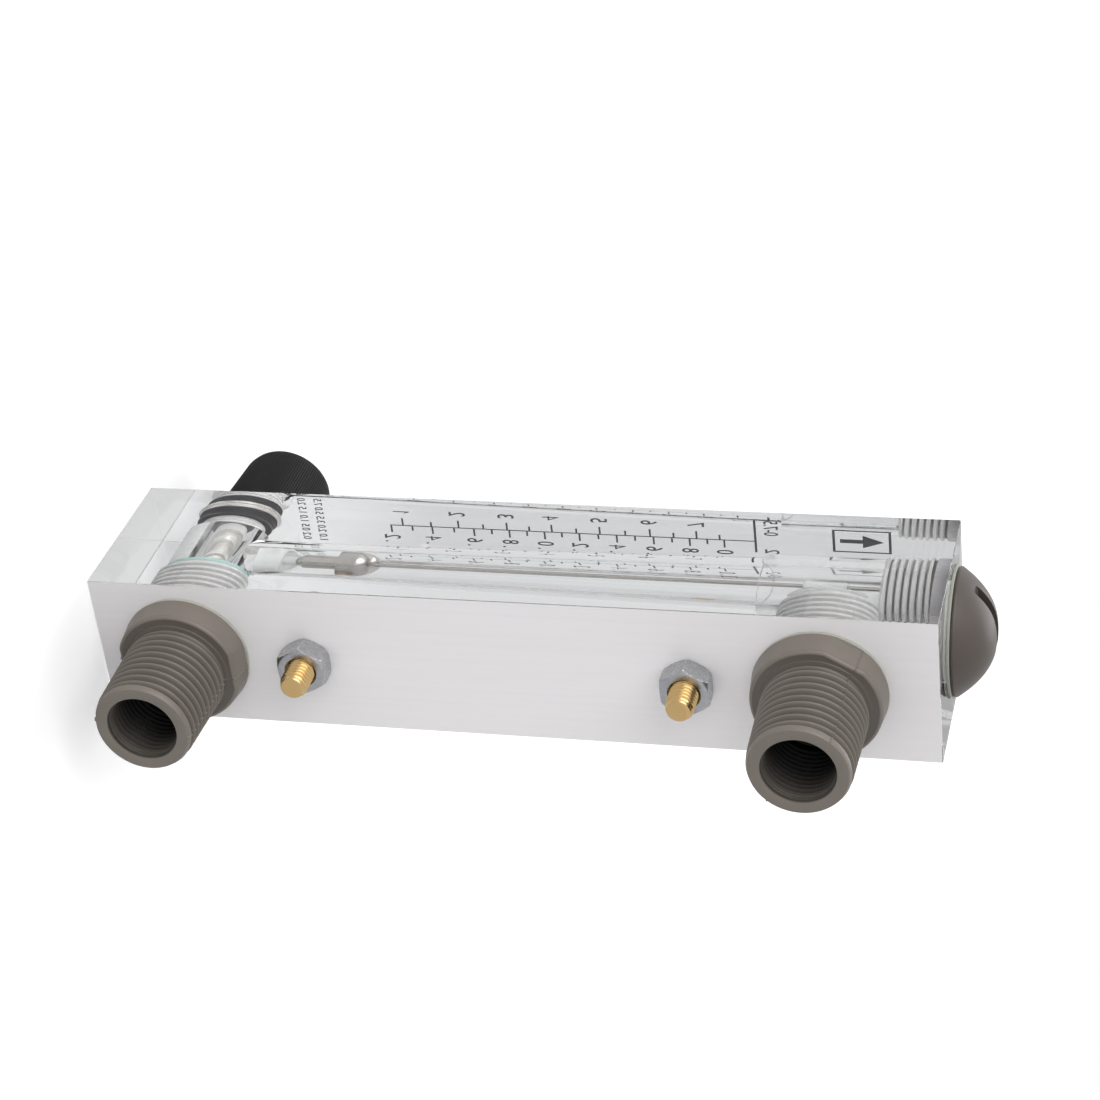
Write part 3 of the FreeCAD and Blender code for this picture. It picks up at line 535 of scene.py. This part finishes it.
blockValues = {
    "width": 34, "depth": 38, "length": 180, "edge": 0.12,
    "tube": {"low": 6.15, "high": 8.2, "foot": 20, "clearFrom": 24, "taperStart": 50, "top": 141, "chamber": 9.4,
             "floor": 166},
    "plugWall": 9.9, "plugMouth": 10.45, "plugThreadEnd": 176.5,
    "valve": {"radius": 9.5, "chamberEnd": -11.3, "thread": 7.2, "ring": 8.85, "ringStart": -15.3,
              "recess": 9.3, "recessStart": -17.9, "seat": 9.58, "seatEnd": 4.35},
    "socket": {"radius": 9.9, "floor": 3.2, "drillPoint": 5.7},
    "stud": {"radius": 2.7, "depth": 9.5},
    "beyond": 1.0, "skin": 0.4, "flatDepth": 0.3, "clearHalf": 5.5, "clearLean": 0.2, "hair": 0.02,
    "steps": 160, "tubeSteps": 256, "studSteps": 64, "sharp": 24,
}


def blockMesh():
    # a rectangle with bevelled corners, carried from the base to the top and drawn in at both ends
    values = blockValues
    width, depth, edge, top = pick(values, "width depth edge length")

    def outline(inset, height):
        x, y, e = width / 2 - inset, depth / 2 - inset, edge - inset * 0.5
        corners = [(x, y - e), (x - e, y), (e - x, y), (-x, y - e),
                   (-x, e - y), (e - x, -y), (x - e, -y), (x, e - y)]
        return [(cornerX, cornerY, height) for cornerX, cornerY in corners]

    return prismMesh("acrylicBlock", np.array([
        outline(edge, 0), outline(0, edge), outline(0, top - edge), outline(edge, top)]))


def tapped(thread, start, stop, radius):
    return {**thread, "from": start, "to": stop, "wall": (radius, radius)}


def blockCuts():
    # every bore as a lathe form, with its axis and its steps round
    values = blockValues
    tube, valve, socket, stud = pick(values, "tube valve socket stud")
    plugMouth, plugEnd, steps, studSteps = pick(values, "plugMouth plugThreadEnd steps studSteps")
    back, beyond = values["depth"] / 2, values["beyond"]
    above, outside, studEnd = values["length"] + beyond, back + beyond, back - stud["depth"]
    ring, thread, ringStart, chamberEnd, seatEnd = pick(valve, "ring thread ringStart chamberEnd seatEnd")
    low, radius, floor, port = tube["low"], valve["radius"], socket["floor"], socket["radius"]
    tubeHole = [
        [(0, tube["foot"]), (low, tube["foot"]), (low, tube["taperStart"]), (tube["high"], tube["top"]),
         (tube["chamber"], tube["top"]), (tube["chamber"], tube["floor"])],
        tapped(plugThread, tube["floor"] + 0.05, plugEnd, values["plugWall"]),
        [(plugMouth, plugEnd), (plugMouth, above), (0, above)],
    ]
    valveHole = [
        [(0, -outside), (valve["recess"], -outside), (valve["recess"], valve["recessStart"]),
         (ring, valve["recessStart"]), (ring, ringStart), (thread, ringStart)],
        tapped(glandThread, ringStart + 0.05, chamberEnd - 0.05, thread),
        [(thread, chamberEnd), (radius, chamberEnd), (radius, floor), (valve["seat"], floor),
         (valve["seat"], seatEnd), (port, seatEnd)],
        tapped(socketThread, seatEnd + 0.1, back - 0.05, port),
        [(port, outside), (0, outside)],
    ]
    outletHole = [
        [(0, floor - socket["drillPoint"]), (port, floor)],
        tapped(socketThread, floor + 0.1, back - 0.05, port),
        [(port, outside), (0, outside)],
    ]
    studHole = [
        [(0, studEnd), (stud["radius"], studEnd)],
        tapped(studThread, studEnd + 0.1, back - 0.05, stud["radius"]),
        [(stud["radius"], outside), (0, outside)],
    ]
    return {"tubeHole": (tubeHole, tubeAxis, values["tubeSteps"]), "valveHole": (valveHole, inletAxis, steps),
            "outletHole": (outletHole, outletAxis, steps), "lowerStudHole": (studHole, lowerStudAxis, studSteps),
            "upperStudHole": (studHole, upperStudAxis, studSteps)}


def blockKinds(mesh):
    # 0 polished, 1 drilled, 2 lacquered, 3 tapped, 4 bored, 5 painted shade, 6 paler painted shade, 7 sanded, by
    # each face's place
    values = blockValues
    tube, valve, socket, skin, flatDepth = pick(values, "tube valve socket skin flatDepth")
    plugWall, plugMouth, plugEnd = pick(values, "plugWall plugMouth plugThreadEnd")
    top, back, hair = values["length"], values["depth"] / 2, values["hair"]
    x, y, z = faceCentres(mesh).T
    normalY = readRows(mesh.polygons, "normal")[:, 1]
    fromTube = np.hypot(x, y - tubeAxis["y"])
    fromInlet, fromOutlet = np.hypot(x, z - inletAxis["z"]), np.hypot(x, z - outletAxis["z"])
    fromPorts = np.minimum(fromInlet, fromOutlet)

    outside = (np.abs(x) > values["width"] / 2 - skin) | (np.abs(y) > back - skin) | (z < skin) | (z > top - skin)
    inTube = (fromTube < tube["high"] + 0.3) & (z > tube["clearFrom"]) & (z < tube["top"] + 1)
    inValve = (fromInlet < valve["radius"] + 0.1) & (y < valve["seatEnd"] + hair)
    kinds = np.where(outside | inTube | inValve, 0, 1)

    # the chamber's wall is clear where it faces the sides and sanded above and below
    inChamber = inValve & (y > valve["chamberEnd"] - 0.1) & (y < socket["floor"] - hair)
    wall = inChamber & (fromInlet > valve["thread"] + 0.05) & ~inTube
    inDrillPoint = (fromOutlet < socket["radius"]) & (y < socket["floor"] + 0.05) & (y > -3)
    kinds[wall | inDrillPoint] = 4
    kinds[wall & (np.abs(z - inletAxis["z"] - values["clearLean"] * np.abs(x)) > values["clearHalf"])] = 7
    inGlandThread = (y > valve["ringStart"] + hair) & (y < valve["chamberEnd"] - hair)
    kinds[(fromInlet < valve["thread"] + 0.3) & inGlandThread] = 3
    kinds[(y > back - 0.01) & (normalY > 0.9)] = 2

    # tapped walls: white on the crests and flanks, painted shade in the flats next to the plastic threads, paler in
    # the ports
    socketStart = np.where(fromInlet < fromOutlet, valve["seatEnd"], socket["floor"]) + 0.12
    inSockets = (y > socketStart) & (y < back - 0.1) & (fromPorts < socket["radius"] + 1.1)
    inPlugPort = (z > tube["floor"] + hair) & (z < plugEnd - hair) & ~outside & (fromTube > plugWall - 0.9)
    kinds[inSockets] = np.where(fromPorts[inSockets] > socket["radius"] - flatDepth, 3, 6)
    kinds[inPlugPort] = np.where(fromTube[inPlugPort] > plugWall - flatDepth, 3, 5)
    # the plug's mouth above its thread takes the paler painted shade
    kinds[(z > plugEnd + hair) & (z < top - 0.1) & (fromTube < plugMouth + 0.1)] = 6
    return kinds


def makeBlock():
    piece = newObject("acrylicBlock", blockMesh())
    for name, (stretches, axis, steps) in blockCuts().items():
        cutAway(piece, name, turnedMesh(name, stretches, axis, steps))
    kinds = [castAcrylic, drilledAcrylic, lacqueredBack, tappedAcrylic, boredAcrylic, shadedAcrylic,
             paleShadedAcrylic, sandedAcrylic]
    assign(piece, kinds, "root", "clear_acrylic", "acrylic_body")
    setKinds(piece.data, blockKinds(piece.data))
    sharpen(piece.data, blockValues["sharp"])


makeBlock()
print("acrylic block cut")


# ---- threaded fittings

fittingValues = {
    "end": 4.2, "shank": 9.85, "shankEnd": 19.8, "flange": 14.0, "flangeFront": 25.6, "draft": 0.6,
    "flatBack": 13.4, "flatFront": 12.65, "rim": 0.7, "neck": 11.25, "neckEnd": 26.1,
    "crest": 11.05, "noseCrest": 10.6, "firstCrest": 26.9, "lastCrest": 44.9, "nose": 46.8, "noseRim": 9.9,
    "pitch": 2.0, "depth": 0.6, "female": 7.3, "femaleDepth": 18.0, "way": 5.5, "steps": 192,
    "turns": {"inletFitting": 90, "outletFitting": 30}, "seams": {"inletFitting": 98, "outletFitting": 41},
    "seamHeight": 0.26, "seamWidth": 1.3, "flatEnd": 11.6, "sharp": 40, "grooveShade": 0.8,
}


def flattened(values, turn):
    # two parallel flats with draft: the radius is at most flat(place) / |cos(angle - turn)|
    shankEnd, flatBack, flatFront, flatEnd = pick(values, "shankEnd flatBack flatFront flatEnd")

    def trim(radius, place, angles):
        share = (place - shankEnd) / (values["flangeFront"] - shankEnd)
        flat = flatBack + (flatFront - flatBack) * share
        edge = values["flange"] - values["draft"] * share
        limit = (flat - (edge - radius)) / np.maximum(np.abs(np.cos(angles - math.radians(turn))), 1e-6)
        return np.where(radius > flatEnd, np.minimum(radius, np.maximum(limit, flatEnd)), radius)
    return trim


def seamed(values, turn):
    # mould seam: a thin fin on the outside, its height falling to 0 over the seam's half width in degrees
    def seam(radius, place, angles):
        away = np.abs((np.degrees(angles) - turn + 90) % 180 - 90)
        fin = values["seamHeight"] * np.clip(1 - away / values["seamWidth"], 0, 1)
        outside = (place > values["shankEnd"] + 0.1) & (radius > values["noseRim"] - 0.3)
        return radius + np.where(outside, fin[None, :], 0)
    return seam


def fittingForm(turn):
    values = fittingValues
    end, shank, shankEnd, way, neck, neckEnd = pick(values, "end shank shankEnd way neck neckEnd")
    flange, front, rim, draft, depth, pitch = pick(values, "flange flangeFront rim draft depth pitch")
    crest, noseCrest, firstCrest, lastCrest = pick(values, "crest noseCrest firstCrest lastCrest")
    nose, noseRim, female, femaleDepth = pick(values, "nose noseRim female femaleDepth")
    slope = (noseCrest - crest) / (lastCrest - firstCrest)
    rimRadius, stop, inner = flange - draft, lastCrest + 0.5, nose - femaleDepth
    trim = flattened(values, turn)
    return [
        [(way, end), (shank - 1.2, end), (shank - 0.3, end + 0.9)],
        {**socketThread, "from": end + 0.9, "to": shankEnd - 0.9, "shape": sharpShape,
         "wall": (shank - 0.3, shank)},
        [(shank, shankEnd - 0.9), (shank, shankEnd)],
        {"rings": [(shank, shankEnd), (flange - 0.3, shankEnd), (flange - 0.03, shankEnd + 0.3),
                   (rimRadius + 0.04, front - rim)], "trim": trim},
        {"rings": [(rimRadius - rim + rim * math.cos(t), front - rim + rim * math.sin(t))
                   for t in np.radians(np.linspace(0, 90, 7))], "trim": trim},
        [(neck + 0.3, front), (neck + 0.08, front + 0.08), (neck, front + 0.3)],
        {"pitch": pitch, "shape": ridgeShape, "depth": depth, "fade": (1.1, 0.7), "from": neckEnd, "to": stop,
         "phase": (firstCrest / pitch) % 1 - 0.25,
         "wall": (crest - depth + slope * (neckEnd - firstCrest), noseCrest - depth)},
        [(noseCrest - 0.25, stop + 0.1), (noseCrest - 0.2, stop + 0.35), (noseRim + 0.14, nose - 0.25),
         (noseRim + 0.03, nose - 0.06), (noseRim - 0.15, nose), (female + 0.5, nose - 0.03),
         (female + 0.3, nose - 0.12), (female + 0.22, nose - 0.4)],
        {"pitch": 1.337, "shape": roundedShape, "depth": 0.36, "fade": (0.8, 0.8), "from": nose - 0.9,
         "to": inner + 0.5, "wall": (female + 0.2, female)},
        [(female, inner), (way, inner - 1), (way, end)],
    ]


def shadeGrooves(mesh, axis):
    # "hollow" is painted shade: how far a point lies below the line of the crests, from 0 to 1, with its own value
    # at the flange
    values = fittingValues
    crest, noseCrest, firstCrest, lastCrest = pick(values, "crest noseCrest firstCrest lastCrest")
    front, neck, neckEnd, depth = pick(values, "flangeFront neck neckEnd depth")
    slope = (noseCrest - crest) / (lastCrest - firstCrest)
    x, y, z = readRows(mesh.vertices, "co").T * 1000
    radius = np.hypot(x, z - axis["z"])
    crests = crest + slope * (y - firstCrest)
    hollow = np.clip((crests - radius) / (1.6 * depth), 0, 1) * (y > front - 0.01) * (y < lastCrest + 0.5)
    hollow[(y > front - 0.02) & (y < neckEnd) & (radius > neck - 0.2)] = values["grooveShade"]
    mesh.attributes.new("hollow", "FLOAT", "POINT").data.foreach_set("value", hollow.astype(np.float32))


def makeFitting(name, axis, node):
    values = fittingValues
    turn, seam = -values["turns"][name], -values["seams"][name]        # the lathe's own angle runs towards -Z
    extra = [turn + side + sign * degrees for side in (0, 180) for sign in (1, -1) for degrees in (17, 13, 9)]
    extra += [seam + side + sign * values["seamWidth"] for side in (0, 180) for sign in (1, 0.3, 0, -0.3, -1)]
    mesh = turnedMesh(name, fittingForm(turn), axis, values["steps"], extra, values["sharp"], seamed(values, seam))
    addPiece(name, mesh, [fittingPlastic, borePlastic], "root", "grey_abs", node)
    x, y, z = faceCentres(mesh).T
    setKinds(mesh, (np.hypot(x, z - axis["z"]) < values["female"] + 0.32) & (y < values["nose"] - 0.5))
    shadeGrooves(mesh, axis)


makeFitting("inletFitting", inletAxis, "inlet_fitting")
makeFitting("outletFitting", outletAxis, "outlet_fitting")
print("fittings turned")


# ---- top plug

plugValues = {
    "end": 166.5, "thread": 9.85, "threadEnd": 176.5, "shank": 10.35, "capLow": 180.6, "cap": 13.45, "rim": 0.7,
    "height": 8.3, "crown": 2.5, "hollow": 6.8, "hollowDepth": 8, "boss": 2.6, "rodHole": 1.03, "rodDepth": 8.5,
    "slotWidth": 2.9, "slotDepth": 4.4, "gasket": 13.8, "gasketHole": 10.6, "gasketDepth": 0.6, "gasketEdge": 0.12,
    "steps": 144, "sharp": 34,
}


def slotMesh():
    # the screwdriver slot runs along X across the dome: a cutter with a narrower floor and a wider mouth
    values = plugValues
    half, top, reach = values["slotWidth"] / 2, values["capLow"] + values["height"], values["cap"] + 2
    floor = top - values["slotDepth"]
    profile = [(half + 0.25, top + 2), (half, top - 0.6), (half, floor + 0.4), (half - 0.4, floor)]
    profile += [(-y, z) for y, z in reversed(profile)]
    ends = [[(x, y + tubeAxis["y"], z) for y, z in profile] for x in (-reach, reach)]
    return prismMesh("slotCutter", np.array(ends))


def makePlug():
    values = plugValues
    end, thread, threadEnd, shank, low, cap = pick(values, "end thread threadEnd shank capLow cap")
    rim, height, hollow, boss, rodHole = pick(values, "rim height hollow boss rodHole")
    inner, rodEnd = end + values["hollowDepth"], end + values["rodDepth"]
    # the dome falls from its top by its rise times (radius / cap) to the power of the crown
    radii = cap * np.sin(np.radians(np.linspace(86, 0, 30)))
    dome = [(r, low + height - (height - rim) * (r / cap) ** values["crown"]) for r in radii]
    stretches = [
        [(hollow, end), (thread - 0.9, end), (thread - 0.3, end + 0.6)],
        {**plugThread, "from": end + 0.6, "to": threadEnd - 0.4, "wall": (thread - 0.3, thread)},
        [(thread, threadEnd), (shank, threadEnd + 0.1), (shank, low), (cap - 0.5, low), (cap - 0.15, low + 0.12),
         (cap, low + 0.4), (cap, low + rim - 0.1)],
        dome,
        [(0, rodEnd), (rodHole, rodEnd), (rodHole, end), (boss, end), (boss, inner), (hollow, inner),
         (hollow, end)],
    ]
    piece = addTurned("topPlug", stretches, tubeAxis, values, plugPlastic, "root", "grey_abs_dark", "top_plug")
    cutAway(piece, "slotCutter", slotMesh())
    sharpen(piece.data, values["sharp"])


def makePlugGasket():
    values = plugValues
    outer, hole, edge, high = pick(values, "gasket gasketHole gasketEdge capLow")
    low = high - values["gasketDepth"]
    section = [(hole, low), (outer - edge, low), (outer, low + edge), (outer, high - edge), (outer - edge, high),
               (hole, high), (hole, low)]
    addTurned("plugGasket", [section], tubeAxis, values, clearSilicone, "root", "clear_gasket", "plug_gasket")


makePlug()
makePlugGasket()
print("plug turned and slotted")


# ---- knob

knobValues = {
    "back": -26.3, "front": -48.0, "backRadius": 11.4, "frontRadius": 10.5, "edge": 0.8, "skirt": 8.6,
    "skirtDepth": 3, "recess": 6.5, "recessDepth": 4.2, "ridges": 120, "ridgeDepth": 0.22,
    "screwHole": 1.65, "bore": 3.04, "spigotEnd": 16.1, "steps": 480, "sharp": 38,
}


def knurl(radius, place, angles):
    # straight knurl: the radius drops by the ridge depth between neighbouring ridges
    wave = 0.5 - 0.5 * np.cos(angles * knobValues["ridges"])
    return radius - knobValues["ridgeDepth"] * wave[None, :]


def makeKnob():
    values = knobValues
    back, front, edge, skirt, recess, bore = pick(values, "back front edge skirt recess bore")
    backRadius, frontRadius, screwHole = pick(values, "backRadius frontRadius screwHole")
    recessEnd, skirtEnd = front + values["recessDepth"], back - values["skirtDepth"]
    boreEnd = back - values["spigotEnd"]
    stretches = [
        [(skirt, back), (backRadius - edge, back), (backRadius - 0.35, back - 0.3)],
        {"rings": [(backRadius, back - edge - 0.2), (frontRadius + 0.08, front + edge + 0.8)], "trim": knurl},
        [(frontRadius - 0.15, front + edge + 0.1), (frontRadius - 0.25, front + 0.45),
         (frontRadius - 0.55, front + 0.12), (frontRadius - edge - 0.2, front), (recess + 0.15, front),
         (recess, front + 0.2), (recess, recessEnd), (screwHole, recessEnd), (screwHole, boreEnd), (bore, boreEnd),
         (bore, skirtEnd), (skirt, skirtEnd), (skirt, back)],
    ]
    addTurned("knobGrip", stretches, inletAxis, values, knobPlastic, "spindle", "black_plastic", "knob")


makeKnob()
print("knob knurled")


# ---- studs and nuts

studValues = {"start": 10.0, "end": 29.8, "radius": 3.0, "bevel": 0.75, "steps": 80, "sharp": 30}
nutValues = {"low": 19.0, "high": 24.0, "flat": 5.0, "turn": 30, "hole": 2.75, "sink": 3.5, "sinkDepth": 0.8,
             "face": 4.8, "rise": 0.6, "foot": 4.9, "footRise": 0.9, "curve": 1.3, "steps": 144, "sharp": 28}


def makeStud(name, axis, node):
    values = studValues
    start, end, radius = pick(values, "start end radius")
    wall = radius - studThread["depth"]
    stretches = [
        [(0, start), (wall - 0.5, start), (wall - 0.31, start + 0.4)],
        {**tapped(studThread, start + 0.4, end - values["bevel"], wall), "fade": (0.5, 0.35)},
        [(radius - 0.32, end - 0.55), (radius - 0.55, end - 0.08), (radius - 0.7, end), (radius - 1.6, end),
         (0, end - 0.02)],
    ]
    addTurned(name, stretches, axis, values, turnedBrass, "root", "brass", node)


def sixSided(flat, turn=0):
    # hexagon: the radius is at most flat / cos(angle from the middle of the nearest side)
    def trim(radius, place, angles):
        side = (angles - math.radians(turn) + np.pi / 6) % (np.pi / 3) - np.pi / 6
        return np.minimum(radius, flat / np.cos(side)[None, :])
    return trim


def makeNut(name, axis, node):
    # bevels on both ends cut the corners off, which leaves the curved lines across the sides
    values = nutValues
    low, high, face, foot, hole = pick(values, "low high face foot hole")
    corner = values["flat"] / math.cos(math.pi / 6) + 0.02
    share = np.linspace(0, 1, 10)
    upper = [(face + (corner - face) * s, high - values["rise"] * s ** values["curve"]) for s in share]
    lower = [(foot + (corner - foot) * s, low + values["footRise"] * s ** values["curve"]) for s in share]
    rings = [(hole, low)] + lower + upper[::-1] + [(values["sink"], high), (hole, high - values["sinkDepth"]),
                                                   (hole, low)]
    stretches = [{"rings": rings, "trim": sixSided(values["flat"], values["turn"])}]
    addTurned(name, stretches, axis, values, zincPlate, "root", "zinc_steel", node)


for make, kind in ((makeStud, "Stud"), (makeNut, "Nut")):
    for place, axis in (("lower", lowerStudAxis), ("upper", upperStudAxis)):
        make(place + kind, axis, kind.lower() + "_" + place)
print("studs and nuts threaded")


# ---- valve gland and its ring

glandValues = {
    "back": -9.8, "hub": 5.8, "threadStart": -11.3, "threadEnd": -15.25, "thread": 6.95, "grooveFront": -17.9,
    "groove": 6.1, "collar": 9.33, "blockFront": -18.98, "land": 9.85, "flange": 10.8,
    "flangeFront": -20.8, "hex": 8.0, "front": -25.0, "bore": 4.05, "steps": 144, "sharp": 30,
}
ringValues = {"back": -15.27, "front": -17.87, "outer": 8.88, "inner": 6.15, "round": 0.15, "steps": 144,
              "sharp": 60}


def makeGland():
    values = glandValues
    back, hub, thread, groove, collar = pick(values, "back hub thread groove collar")
    threadStart, threadEnd, grooveFront = pick(values, "threadStart threadEnd grooveFront")
    face, land, flange, flangeFront = pick(values, "blockFront land flange flangeFront")
    front, bore, corner = values["front"], values["bore"], values["hex"] / math.cos(math.pi / 6)
    stretches = [
        [(bore, back), (hub - 0.6, back), (hub, back - 0.6), (hub, threadStart + 0.05),
         (thread - 0.2, threadStart)],
        tapped(glandThread, threadStart - 0.05, threadEnd + 0.1, thread),
        [(groove, threadEnd), (groove, grooveFront), (collar - 0.1, grooveFront), (collar, grooveFront - 0.1),
         (collar, face), (land, face), (land + 0.1, face - 0.1), (flange, face - 0.15), (flange, flangeFront + 0.4),
         (flange - 0.4, flangeFront), (corner, flangeFront)],
        {"rings": [(corner, flangeFront), (corner, front + 0.5), (corner - 0.6, front)],
         "trim": sixSided(values["hex"])},
        [(bore + 0.3, front), (bore, front + 0.3), (bore, back)],
    ]
    addTurned("valveGland", stretches, inletAxis, values, valveSteel, "root", "stainless_steel", "valve_gland")


def makeGlandRing():
    # squashed between groove and wall: a flat outer band on the acrylic, with round shoulders
    values = ringValues
    back, front, bend, outer, inner = pick(values, "back front round outer inner")
    corners = [(outer - bend, back - bend, 90), (outer - bend, front + bend, 0), (inner + bend, front + bend, -90),
               (inner + bend, back - bend, 180)]
    section = [point for radius, place, first in corners
               for point in arcPoints((radius, place), bend, first, first - 90, 7)]
    section.append(section[0])
    addTurned("glandRing", [section], inletAxis, values, blackRubber, "root", "black_rubber", "gland_oring")


makeGland()
makeGlandRing()
print("gland turned, ring squashed")


# ---- float

floatValues = {
    "low": 38.5, "bore": 1.08, "tip": 1.9, "tail": 3.3, "taper": 1.8, "head": 49.0, "radius": 5.95, "edge": 0.12,
    "domeStart": 52.7, "top": 56.5, "topRadius": 1.7, "steps": 128, "sharp": 26,
}


def makeFloat():
    # tail, cylinder and blunt dome: the dome's radius is the head's times the root of 1 - (rise share) squared
    values = floatValues
    low, bore, tail, head, radius, edge = pick(values, "low bore tail head radius edge")
    start, top = pick(values, "domeStart top")
    last = math.sqrt(1 - (values["topRadius"] / radius) ** 2)
    turns = np.linspace(0, math.asin(last), 20)
    dome = [(radius * math.cos(t), start + (top - start) * math.sin(t) / last) for t in turns]
    profile = [(bore, low), (values["tip"], low), (tail, low + values["taper"]), (tail, head - edge),
               (tail + edge, head), (radius - edge, head), (radius, head + edge)]
    profile += dome + [(bore, top), (bore, low)]
    addTurned("steelFloat", [profile], tubeAxis, values, turnedSteel, "float", "stainless_steel", "float")


makeFloat()
print("float turned")


# ---- materials of the CAD nodes that stay

nodeMaterials = {
    "inlet_gasket": clearSilicone, "outlet_gasket": clearSilicone, "valve_seat": tealPlastic,
    "guide_rod": turnedSteel, "lower_rod_holder": milkyPlastic, "upper_float_stop": milkyPlastic,
    "spindle_seal": blackRubber, "tip_oring": blackRubber, "valve_stem": valveSteel,
    "knob_screw": zincPlate, "knob_cap": knobPlastic,
}
for name, material in nodeMaterials.items():
    coat(nodes[name].data, material)


# ---- printed scale

printValues = {
    "face": -18.97, "thickness": 0.012, "baseLine": 0.4, "tick": 0.4, "from": 55.2, "to": 136.3,
    "endBar": (-6.1, 11.9, 136.3, 136.8),
    "right": {"long": 4.3, "short": 2.75, "numbers": 8.15,
              "marks": {"1": 58.13, "2": 70.90, "3": 81.88, "4": 91.95, "5": 102.63, "6": 113.69, "7": 123.84},
              "halves": (64.64, 76.51, 86.90, 97.41, 108.25, 118.83, 128.84)},
    "left": {"long": -4.3, "short": -2.75, "numbers": -6.9,
             "marks": {".2": 55.4, ".4": 64.81, ".6": 74.31, ".8": 82.32, "1.0": 90.22, "1.2": 98.0,
                       "1.4": 106.27, "1.6": 114.38, "1.8": 122.26, "2.0": 129.78},
             "halves": (60.25, 69.79, 78.35, 86.3, 94.1, 102.2, 110.3, 118.4, 126.1)},
    "digit": (2.3, 3.7), "pitch": 2.9, "weight": 0.004, "openWeight": -0.009,
    "one": [(-0.08, -0.5), (0.3, -0.5), (0.3, 0.5), (0, 0.5), (-0.8, 0.24), (-0.8, 0.13), (-0.08, 0.34)],
    "labels": {"0-2": (-7.6, 140.0, 6.6, 3.1), "0-7.5": (7.65, 140.0, 8.2, 3.1)},
    "ranges": {"0.2 0.5 1.0 1.5 2.0": (1.5, 35.3, 25, 1.9), "1.0 2.0 3.5 5.0 7.5": (1.5, 39.1, 25, 1.9)},
    "frame": {"box": (-3.8, 8.5, 153.0, 165.4), "line": 0.55, "arrow": (2.35, 154.6, 159.4, 163.8), "shaft": 1.0,
              "head": 3.4},
}


def inkShape(outline):
    # the outline (x, z) becomes a prism as thick as the ink
    low, count = printValues["face"], len(outline)
    points = [(x, y, z) for y in (low, low + printValues["thickness"]) for x, z in outline]
    faces = [list(range(count)), list(range(2 * count - 1, count - 1, -1))]
    for corner in range(count):
        beside = (corner + 1) % count
        faces.append([beside, corner, count + corner, count + beside])
    return np.array(points, float), faces


def bar(x0, x1, z0, z1):
    return [(x0, z0), (x1, z0), (x1, z1), (x0, z1)]


def letterPoints(body):
    # the built-in letters as a solid at size 1
    values = printValues
    data = bpy.data.curves.new("letters", "FONT")
    data.body, data.size, data.resolution_u = body, 1.0, 5
    data.offset = values["openWeight" if body == "4" else "weight"]      # thinner strokes keep the 4 open
    data.align_x, data.extrude = "CENTER", 0.5
    letters = newObject("letters", data)
    mesh = meshOf(letters)
    points, faces = readRows(mesh.vertices, "co"), [list(face.vertices) for face in mesh.polygons]
    bpy.data.objects.remove(letters)
    bpy.data.curves.remove(data)
    bpy.data.meshes.remove(mesh)
    return points, faces


def placedLetters(body, x, z, width, height):
    # the line's own box is stretched to width and height about (x, z), its thickness to the ink's
    points, faces = letterPoints(body)
    low, high = points.min(0), points.max(0)
    share = (points - (low + high) / 2) / (high - low)
    values = printValues
    placed = np.stack([x + share[:, 0] * width, values["face"] + (0.5 - share[:, 2]) * values["thickness"],
                       z + share[:, 1] * height], -1)
    return placed, faces


def printedNumber(body, x, z):
    # evenly spaced as on a typewriter, so that the last digit stands at x
    values = printValues
    width, height = values["digit"]
    placed = []
    for index, letter in enumerate(reversed(body)):
        place = x - index * values["pitch"]
        if letter == "1":
            placed.append(inkShape([(place + u, z + v * height) for u, v in values["one"]]))
        elif letter == ".":
            placed.append(placedLetters(letter, place, z - height / 2 + 0.3, 0.6, 0.6))
        else:
            placed.append(placedLetters(letter, place, z, width, height))
    return placed


def makeScale():
    values = printValues
    half = values["baseLine"] / 2
    outlines = [bar(-half, half, values["from"], values["to"]), bar(*values["endBar"])]
    letters = []
    for side in (values["right"], values["left"]):
        lines = [(side["long"], height) for height in side["marks"].values()]
        lines += [(side["short"], height) for height in side["halves"]]
        thick = values["tick"] / 2
        outlines += [bar(*sorted((half if reach > 0 else -half, reach)), height - thick, height + thick)
                     for reach, height in lines]
        for body, height in side["marks"].items():
            letters += printedNumber(body, side["numbers"], height)
    for body, place in {**values["labels"], **values["ranges"]}.items():
        letters.append(placedLetters(body, *place))

    frame = values["frame"]
    x0, x1, z0, z1 = frame["box"]
    line = frame["line"]
    outlines += [bar(x0, x1, z0, z0 + line), bar(x0, x1, z1 - line, z1), bar(x0, x0 + line, z0 + line, z1 - line),
                 bar(x1 - line, x1, z0 + line, z1 - line)]
    middle, foot, neck, tip = frame["arrow"]
    shaft, head = frame["shaft"], frame["head"]
    outlines.append([(middle - shaft, foot), (middle + shaft, foot), (middle + shaft, neck), (middle + head, neck),
                     (middle, tip), (middle - head, neck), (middle - shaft, neck)])

    for name, shapes in (("scaleLines", map(inkShape, outlines)), ("scaleNumbers", letters)):
        base, points, faces = 0, [], []
        for placed, own in shapes:
            faces += [[base + corner for corner in face] for face in own]
            points.append(placed)
            base += len(placed)
        mesh = makeMesh(name, np.concatenate(points), faces, weld=0.0001)
        addPiece(name, mesh, [screenInk], "root", "black_plastic")


makeScale()
print("scale printed")
